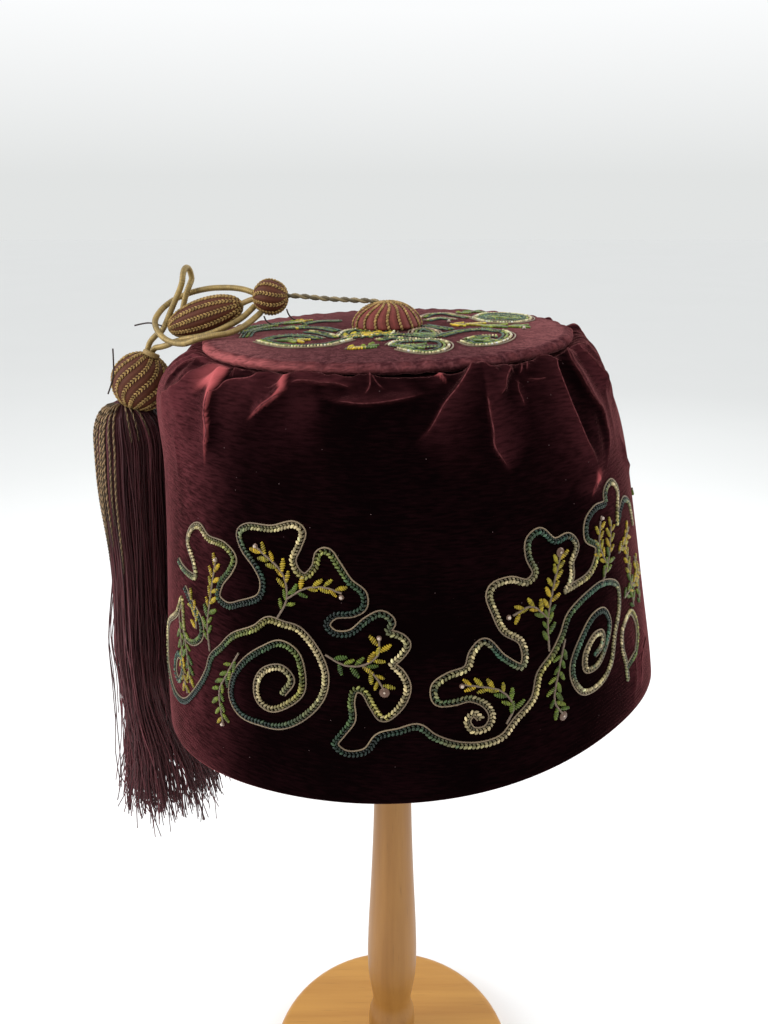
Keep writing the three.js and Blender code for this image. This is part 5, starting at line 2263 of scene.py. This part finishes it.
@dataclass
class Wrapped:
    """Body wrapped in silk with dotted gold ribs, turned about its own axis.

    Its line is the radius and the height along its axis of each point of its profile.
    """

    node: str
    slot: str
    centre: Point
    axes: Array
    line: Array
    rib: Rib
    silk: Colour
    lobe: float = 0.35
    lobe_sunk: float = 0.8
    sides_each: int = 12
    profile_rows: int = 40
    strands_each: int = 4
    strand_depth: float = 0.25
    bare_end: float = 0.03
    slope_step: float = 0.01
    pole_reach: float = 3.0
    pole_share: float = 0.55

    def shape(self, turn: Array, at: Array, offset: Amount = 0.0) -> Array:
        """Points of the body.

        Args:
            turn: Angles round the axis.
            at: Shares of the way along the profile.
            offset: Distance outside the body.

        Returns:
            Points in the row frame.
        """
        turn, at = np.broadcast_arrays(turn, at)
        walked = walk(self.line)
        radii, levels = self.line.T
        columns = (radii, levels, np.gradient(levels, walked), -np.gradient(radii, walked))
        radius, level, outward, upward = (np.interp(at, walked / walked[-1], column) for column in columns)
        swirl = turn + self.rib.bend * np.sin(math.tau * (at - 0.5))
        reach = radius + outward * offset
        local = np.stack([reach * np.cos(swirl), reach * np.sin(swirl), level + upward * offset], axis=-1)
        return local @ self.axes.T + np.array(self.centre)

    def body(self, draft: Draft) -> None:
        """Adds the silk with its lobes between the ribs.

        Args:
            draft: Where it goes.
        """
        count, radii = self.rib.count, self.line[:, 0]
        turn = ring_angles(count * self.sides_each)
        wave = np.abs(np.sin(turn * count / 2))
        at = np.linspace(0.0, 1.0, self.profile_rows)
        full = np.interp(at, np.linspace(0, 1, len(radii)), radii) / radii.max()
        rows = self.shape(turn, at[:, None], self.lobe * (wave - self.lobe_sunk) * full[:, None])
        strands = 1.0 + self.strand_depth * np.cos(turn * count * self.strands_each)
        lit = 0.45 + 0.55 * wave * strands / (1.0 + self.strand_depth)
        shade = np.array(self.silk) * lit[:, None]
        draft.solid(rows, np.broadcast_to(shade, rows.shape), (self.silk, self.silk))

    def ribs(self, draft: Draft) -> None:
        """Adds the ribs' stitches, smaller and closer towards the poles.

        Args:
            draft: Where they go.
        """
        rib = self.rib
        ends = (self.bare_end, 1.0 - self.bare_end)
        length = float(walk(self.line)[-1]) * (ends[1] - ends[0])
        spots = np.linspace(*ends, max(4, int(length / rib.pitch)))
        rng = np.random.default_rng(SEED + rib.count)
        for angle in ring_angles(rib.count):
            places = self.shape(angle, spots, rib.half[2] / 4)
            ahead = self.shape(angle, spots + self.slope_step)
            ways = unit(ahead - self.shape(angle, spots - self.slope_step))
            normals = unit(self.shape(angle, spots, 1.0) - self.shape(angle, spots))
            across = np.cross(normals, ways)
            away = np.linalg.norm(np.cross(places - np.array(self.centre), self.axes[:, 2]), axis=1)
            spread = np.minimum(1.0, away / self.pole_reach)[:, None]
            scale = self.pole_share + (1.0 - self.pole_share) * spread
            half = [size * scale for size in rib.half]
            for row in np.linspace(-1.0, 1.0, rib.rows) if rib.rows > 1 else (0.0,):
                tilt = math.radians(rib.slant) * (row or 1.0)
                along = ways * math.cos(tilt) - across * math.sin(tilt)
                tints = np.array(rib.gold) * rng.uniform(0.6, 1.4, (len(spots), 1))
                draft.stitches(places + across * rib.row_gap * row * spread, along, normals, half, tints)

    def build(self, finish: Material) -> Piece:
        """The body and its ribs.

        Args:
            finish: The thread's material.

        Returns:
            The piece.
        """
        draft = Draft()
        self.body(draft)
        self.ribs(draft)
        piece = draft.build(f"{self.node}_wrap", finish)
        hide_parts(self.node)
        return piece


@dataclass(frozen=True)
class Knob:
    """Round or long knob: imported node, middle, direction of its axis, radius and half length, and ribs."""

    node: str
    centre: Point
    axis: Point
    half: Span
    rib: Rib


@dataclass
class Trimmings:
    """The top's button, the ball knob, the oval knob and the tassel's head."""

    tip: CrownTip
    button_radius: float = 12.0
    button_height: float = 8.5
    button_tuck: float = 0.8
    button_lobe: float = 0.5
    button_rows: int = 24
    button_rib: Rib = Rib(17, 1.0, (0.7, 0.46, 0.42), 30.0, 0.08, 1)
    button_silk: Colour = (0.2, 0.042, 0.034)
    seat_gap: float = 0.3
    pole_angle: float = 88.0
    knob_rows: int = 40
    knob_silk: Colour = (0.105, 0.030, 0.014)
    knobs: tuple[Knob, ...] = (
        Knob(
            "knob_ball", (-43.3, 4.5, 367.3), (1.0, -0.08, 0.05), (6.0, 6.0),
            Rib(10, 1.0, (0.6, 0.3, 0.34), bend=0.12, row_gap=0.3),
        ),
        Knob("knob_oval", (-67.0, 7.0, 360.2), (0.949, -0.034, 0.318), (6.2, 14.0), Rib(11, row_gap=0.34)),
        Knob("tassel_head", (-92.6, 10.0, 336.2), (0.45, 0.22, 0.87), (10.6, 10.6), Rib(15, bend=0.22)),
    )

    def button(self) -> Wrapped:
        """The domed button, seated on the top's middle.

        Returns:
            The wrapped body.
        """
        angle = np.radians(np.linspace(0, self.pole_angle, self.button_rows))
        dome = np.stack([self.button_radius * np.cos(angle), self.button_height * np.sin(angle)], axis=1)
        dome[0] = (self.button_radius - self.button_tuck, 0.0)
        seat = self.tip.to_world(np.array((0.0, 0.0, self.tip.dome + self.seat_gap)))
        axes = (self.tip.to_world(np.eye(3)) - self.tip.to_world(np.zeros(3))).T
        look = (self.button_rib, self.button_silk, self.button_lobe)
        return Wrapped("tip_button", "button_cord", tuple(seat), axes, dome, *look)

    def knob(self, knob: Knob) -> Wrapped:
        """Round or long knob.

        Args:
            knob: Its place, sizes and ribs.

        Returns:
            The wrapped body.
        """
        angle = np.radians(np.linspace(-self.pole_angle, self.pole_angle, self.knob_rows))
        line = np.array(knob.half) * np.stack([np.cos(angle), np.sin(angle)], axis=1)
        axes = axes_along(knob.axis)
        return Wrapped(knob.node, "knob_cord", knob.centre, axes, line, knob.rib, self.knob_silk)

    def build(self) -> list[Piece]:
        """The four wrapped pieces.

        Returns:
            Button, ball knob, oval knob and tassel head.
        """
        silk = Thread("wrapped_silk", 0.62, 0.0, 0.0, specular=0.2).make()
        wraps = (self.button(), *(self.knob(knob) for knob in self.knobs))
        return [wrap.build(silk) for wrap in wraps]


@dataclass(frozen=True)
class SkirtSection:
    """Section of the tassel's skirt: drop below its top, middle's reach and two half sizes, in mm."""

    drop: float
    out: float
    thick: float
    wide: float


@dataclass
class TasselSkirt:
    """Tassel threads over a dark filler, a painted shadow among them, with gold bullion strands at its head.
    """

    centre: Point = (-92.6, 10.0, 336.2)
    turn: float = 174.3
    top: float = -9.3
    thread_count: int = 1120
    thread_radius: float = 0.26
    thread_sides: int = 3
    thread_steps: int = 22
    neck_steps: int = 6
    neck_part: float = 0.1
    neck_skips: int = 3
    spring: float = -1.5
    shoulder: float = 13.0
    neck_share: float = 0.28
    neck_out: float = 7.0
    section_step: float = 2.0
    core_sides: int = 24
    core_rows: int = 24
    core_share: float = 0.62
    core_span: Span = (1.0, 140.0)
    core_narrows: float = 90.0
    core_shadow: float = 0.35
    length_mean: Span = (167.0, 4.5)
    length_limits: Span = (120.0, 178.0)
    short_share: float = 0.3
    short_span: Span = (128.0, 164.0)
    hang_limit: float = 185.0
    fray_from: float = 92.0
    fray_over: float = 80.0
    loose_span: Span = (35.0, 110.0)
    stray_count: int = 30
    bright_share: float = 0.06
    bright_dye: Colour = (1.9, 2.6, 2.4)
    bullion_spots: tuple[float, ...] = (
        0.11, 0.18, 0.26, 0.36, 0.46, 0.56, 0.66, 0.76, 0.88, 1.45, 1.6, 1.75,
    )
    bullion_short_from: float = 1.0
    bullion_short: Span = (8.0, 12.0)
    bullion_long: Span = (36.0, 60.0)
    bullion_radius: float = 0.25
    bullion_step: float = 0.45
    bullion_pitch: float = 2.6
    bullion_share: float = 1.04
    # Lit and shaded copies of one gold thread, one for each ply.
    bullion_light_and_shade: Span = (1.15, 0.35)
    bullion_fade: float = 14.0
    maroon: Colour = (0.060, 0.012, 0.0155)
    gold: Colour = (0.24, 0.155, 0.078)
    sections: tuple[SkirtSection, ...] = (
        SkirtSection(9, 5.2, 13.2, 15), SkirtSection(28, 5.4, 12.8, 18.5), SkirtSection(60, 5.2, 11.0, 20),
        SkirtSection(97, 7.3, 11.0, 20.5), SkirtSection(117, 6.8, 10.9, 20.5),
        SkirtSection(141, 4.0, 14.8, 21), SkirtSection(168, 2.4, 19.4, 21.5), SkirtSection(185, 3, 20, 21),
    )

    def to_world(self, local: Array) -> Array:
        """Points of the tassel's own frame in the row frame."""
        return local @ rotation("z", self.turn).T + np.array(self.centre) + np.array((0.0, 0.0, self.top))

    def place(self, drop: Array, angle: Array, share: Amount) -> Array:
        """Points of the skirt, which springs from its gathered top in a round shoulder.

        Args:
            drop: Distances below the top.
            angle: Angles round the skirt's middle.
            share: Shares of its half sizes.

        Returns:
            Points in the tassel's own frame.
        """
        table = spline([(s.drop, s.out, s.thick, s.wide) for s in self.sections], self.section_step)
        below = np.maximum(drop, self.shoulder)
        out, thick, wide = (np.interp(below, table[:, 0], table[:, k]) for k in (1, 2, 3))
        fallen = np.clip((drop - self.spring) / (self.shoulder - self.spring), 0.0, 1.0)
        half = share * (self.neck_share + (1.0 - self.neck_share) * np.sqrt(1.0 - (1.0 - fallen) ** 2))
        middle = out + (self.neck_out - out) * (1.0 - fallen) ** 2
        sides = (middle + half * thick * np.cos(angle), half * wide * np.sin(angle), -drop)
        return np.stack(np.broadcast_arrays(*sides), axis=-1)

    def shadow_filler(self, draft: Draft) -> None:
        """Adds a dark filler that the threads hide, a painted shadow inside the skirt.

        Args:
            draft: Where it goes.
        """
        drop = np.linspace(*self.core_span, self.core_rows)[:, None]
        share = self.core_share * (1.0 - 0.75 * smooth(drop, self.core_narrows, self.core_span[1]))
        # Painted shadow colour for the inside of the skirt.
        dark = tuple(self.core_shadow * c for c in self.maroon)
        draft.solid(self.to_world(self.place(drop, -ring_angles(self.core_sides), share)), dark, (dark, dark))

    def thread(self, stray: bool, draft: Draft, rng: Chance) -> None:
        """Adds one hanging thread.

        Args:
            stray: Whether it strays outwards from the rest.
            draft: Where it goes.
            rng: Source of chance.
        """
        length = float(np.clip(rng.normal(*self.length_mean), *self.length_limits))
        if rng.uniform() < self.short_share:
            length = rng.uniform(*self.short_span)
        angle = rng.normal(0.0, 0.4) if stray else rng.uniform(0, math.tau)
        share = math.sqrt(rng.uniform(0.42, 1.0))
        steps = np.linspace(0.0, 1.0, self.thread_steps)[self.neck_skips :]
        steps = np.concatenate([np.linspace(0.0, self.neck_part, self.neck_steps), steps])
        drop = self.spring + steps * (length - self.spring)
        sway = rng.normal(0, 0.13) * self.wave(drop, (24, 60), rng)
        pull = rng.normal(0, 0.05) * self.wave(drop, (22, 50), rng)
        hanging = np.minimum(drop, self.hang_limit)
        path = self.place(hanging, angle + sway * smooth(drop, 0, 40), np.clip(share + pull, 0.3, 1.02))
        path[:, 2] = -drop
        if stray:
            out = smooth(drop, 55.0, 100.0) * (1.0 - 0.6 * smooth(drop, 130.0, 170.0))
            path[:, 0] += rng.uniform(1.0, 5.0) * out
        fray = np.clip((drop - self.fray_from) / self.fray_over, 0.0, 1.1) ** 1.6
        path[:, :2] += fray[:, None] * rng.normal(0, 3.0, 2)
        frayed = fray * self.wave(drop, (3.5, 8), rng)
        loose = smooth(drop, *self.loose_span) * self.wave(drop, (4.0, 9.0), rng)
        path[:, :2] += loose[:, None] * rng.normal(0, 0.4, 2)
        path[:, :2] += frayed[:, None] * rng.normal(0, 1.3, 2)
        radius = self.thread_radius * (1.0 - 0.15 * drop / length) * rng.uniform(0.8, 1.2)
        # Painted shade in the gaps between the locks.
        lock_shade = 0.85 + 0.3 * math.cos(11 * angle + 3 * math.sin(5 * angle))
        shade = np.array(self.maroon) * rng.uniform(0.5, 1.6) * lock_shade
        if rng.uniform() < self.bright_share:
            shade = shade * np.array(self.bright_dye)
        draft.tube(self.to_world(path), radius, self.thread_sides, shade)

    def wave(self, drop: Array, length: Span, rng: Chance) -> Array:
        """Wave of chance phase down a thread, its length drawn from a span."""
        return np.sin(drop / rng.uniform(*length) + rng.uniform(*WAVE_SPAN))

    def threads(self) -> Piece:
        """The threads and the dark filler, a painted shadow, that they hide.

        Returns:
            The piece.
        """
        rng = np.random.default_rng(SEED + 7)
        draft = Draft()
        self.shadow_filler(draft)
        for number in range(self.thread_count):
            self.thread(number < self.stray_count, draft, rng)
        finish = Thread("tassel_thread", 0.6, 0.0, 0.18, (0.7, 0.24, 0.24), specular=0.3)
        piece = draft.build("skirt_threads", finish.make())
        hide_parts("tassel_skirt")
        return piece

    def bullion(self) -> Piece:
        """Twisted gold strands that fan from the head over the threads.

        Returns:
            The piece.
        """
        rng = np.random.default_rng(SEED + 8)
        draft = Draft()
        for spot in self.bullion_spots:
            short = spot > self.bullion_short_from
            length = rng.uniform(*(self.bullion_short if short else self.bullion_long))
            angle = math.acos(1.0 - spot) + rng.normal(0, 0.03)
            drop = np.arange(self.spring, length, self.bullion_step)
            wobble = rng.normal(0, 0.06) * np.sin(drop / 9.0 + rng.uniform(*WAVE_SPAN))
            path = self.to_world(self.place(drop, angle + wobble, self.bullion_share))
            fade = 1.0 - 0.6 * smooth(drop, length - self.bullion_fade, length)
            middles = plies(path, drop, self.bullion_pitch, self.bullion_radius * 0.9)
            # Painted highlight on one ply and painted shade on the other.
            for middle, bright in zip(middles, self.bullion_light_and_shade):
                shade = np.array(self.gold) * rng.uniform(0.8, 1.2) * bright * fade[:, None]
                draft.tube(middle, self.bullion_radius * fade, THIN_SIDES, shade)
        piece = draft.build("bullion_strands", Thread("bullion_gold", 0.42, 0.3, 0.05, specular=0.3).make())
        return piece

    def build(self) -> list[Piece]:
        """Threads and bullion."""
        return [self.threads(), self.bullion()]


@dataclass
class LooseEnds:
    """Loose dark threads by the knobs, and the short gold link between the two knobs."""

    tip: CrownTip
    thread_radius: float = 0.28
    thread_step: float = 0.6
    thread_lift: float = 0.4
    link_radius: float = 0.95
    link_step: float = 0.3
    link_sides: int = 12
    dark: Colour = (0.035, 0.02, 0.018)
    gold: Colour = (0.30, 0.20, 0.075)
    link_route: tuple[Point, ...] = ((-54.9, 6.6, 364.2), (-51.2, 5.8, 365.9), (-47.6, 4.9, 367))
    free_threads: tuple[tuple[float, tuple[Pixel, ...]], ...] = (
        (8.0, ((134.5, 325.6), (141, 324), (150, 323), (166, 327))),
        (-0.5, ((112.8, 348.6), (113.4, 361), (113.5, 373), (111, 385), (108, 394))),
    )
    top_threads: tuple[tuple[Pixel, ...], ...] = (
        ((264, 316), (266, 320.5), (271, 324), (279, 325)),
        ((286.6, 309), (289, 315), (294, 319.5), (302, 321)),
    )
    collar_pixel: Pixel = (151.0, 354.5)
    collar_depth: float = 9.0
    collar_axis: Point = (0.45, 0.22, 0.87)
    collar_radius: float = 2.4
    collar_rise: float = 0.3
    collar_turns: int = 2
    collar_steps: int = 96
    collar_thickness: float = 0.75
    collar_sides: int = 8

    def upright(self, pixels: Sequence[Pixel], depth: float) -> Array:
        """Points behind pixels of the photograph on an upright plane at a depth."""
        eye, ways = self.tip.studio.rays(pixels)
        return eye + ways * ((depth - eye[1]) / ways[:, 1:2])

    def threads(self) -> Draft:
        """Loose threads in the air by the knobs and on the top.

        Returns:
            Their mesh.
        """
        draft = Draft()
        feet = [self.tip.face(self.tip.meet(pixels[-1:]), self.thread_lift) for pixels in self.top_threads]
        standing = [(foot[0, 1], pixels) for foot, pixels in zip(feet, self.top_threads)]
        for depth, pixels in (*self.free_threads, *standing):
            path = spline(self.upright(pixels, depth), self.thread_step)
            draft.tube(path, self.thread_radius, THIN_SIDES, self.dark)
        return draft

    def link(self) -> Draft:
        """Gold link between the knobs, and the coil where the cords enter the tassel head.

        Returns:
            Their mesh.
        """
        draft = Draft()
        draft.tube(spline(self.link_route, self.link_step), self.link_radius, self.link_sides, self.gold)
        turns = np.linspace(0.0, self.collar_turns * math.tau, self.collar_steps)
        rise = (turns / math.pi - self.collar_turns) * self.collar_rise
        radius = self.collar_radius
        coil = np.stack([radius * np.cos(turns), radius * np.sin(turns), rise], axis=1)
        path = coil @ axes_along(self.collar_axis).T + self.upright([self.collar_pixel], self.collar_depth)
        draft.tube(path, self.collar_thickness, self.collar_sides, self.gold)
        return draft

    def build(self) -> list[Piece]:
        """Threads and link, each in a piece of its own.

        Returns:
            The two pieces.
        """
        pieces = []
        plans = (("loose_threads", self.threads(), "tassel_thread"), ("knob_link", self.link(), "gold_cord"))
        for name, draft, slot in plans:
            piece = draft.build(name, Thread(f"{name}_silk", 0.5, 0.1, 0.05, specular=0.3).make())
            pieces.append(piece)
        return pieces


def main() -> None:
    """Builds the studio and every piece in order, and reports each one."""
    logging.basicConfig(level=logging.INFO, format="%(name)s: %(message)s")
    studio = Studio()
    studio.camera()
    studio.floor()
    studio.light()
    cap = CapFrame()
    side = CrownSide(cap, studio)
    tip = CrownTip(cap, studio)
    # Its third colour is the painted highlight on the crests and the hem.
    side_velvet = Velvet(
        "velvet", (0.0022, 0.0008, 0.001), (0.0065, 0.0018, 0.0024), (0.46, 0.1, 0.104),
        (0.55, 0.2, 0.2), 0.75,
    )
    # Its third colour is the painted highlight on the rolled edge, and its lighter colour for the sides is
    # painted light on the top's left and right.
    tip_velvet = Velvet(
        "tip_velvet", (0.03, 0.009, 0.0115), (0.112, 0.038, 0.042), (0.36, 0.1, 0.1), (0.5, 0.2, 0.2), 0.5,
        painted_side_light=(0.2, 0.07, 0.072), patch_scale=420.0, line_stretch=(1.0, 1.0, 1.0), line_scale=1100.0,
    )
    pieces = [*Cords().build(), *Stand().build()]
    pieces += [side.build(side_velvet), side.crests(), tip.build(tip_velvet)]
    pieces += Embroidery(side, tip).build()
    pieces += Trimmings(tip).build()
    pieces += TasselSkirt().build()
    pieces += LooseEnds(tip).build()
    for piece in pieces:
        log.info("%s: %d faces", piece.name, len(piece.data.polygons))


if __name__ == "__main__":
    main()
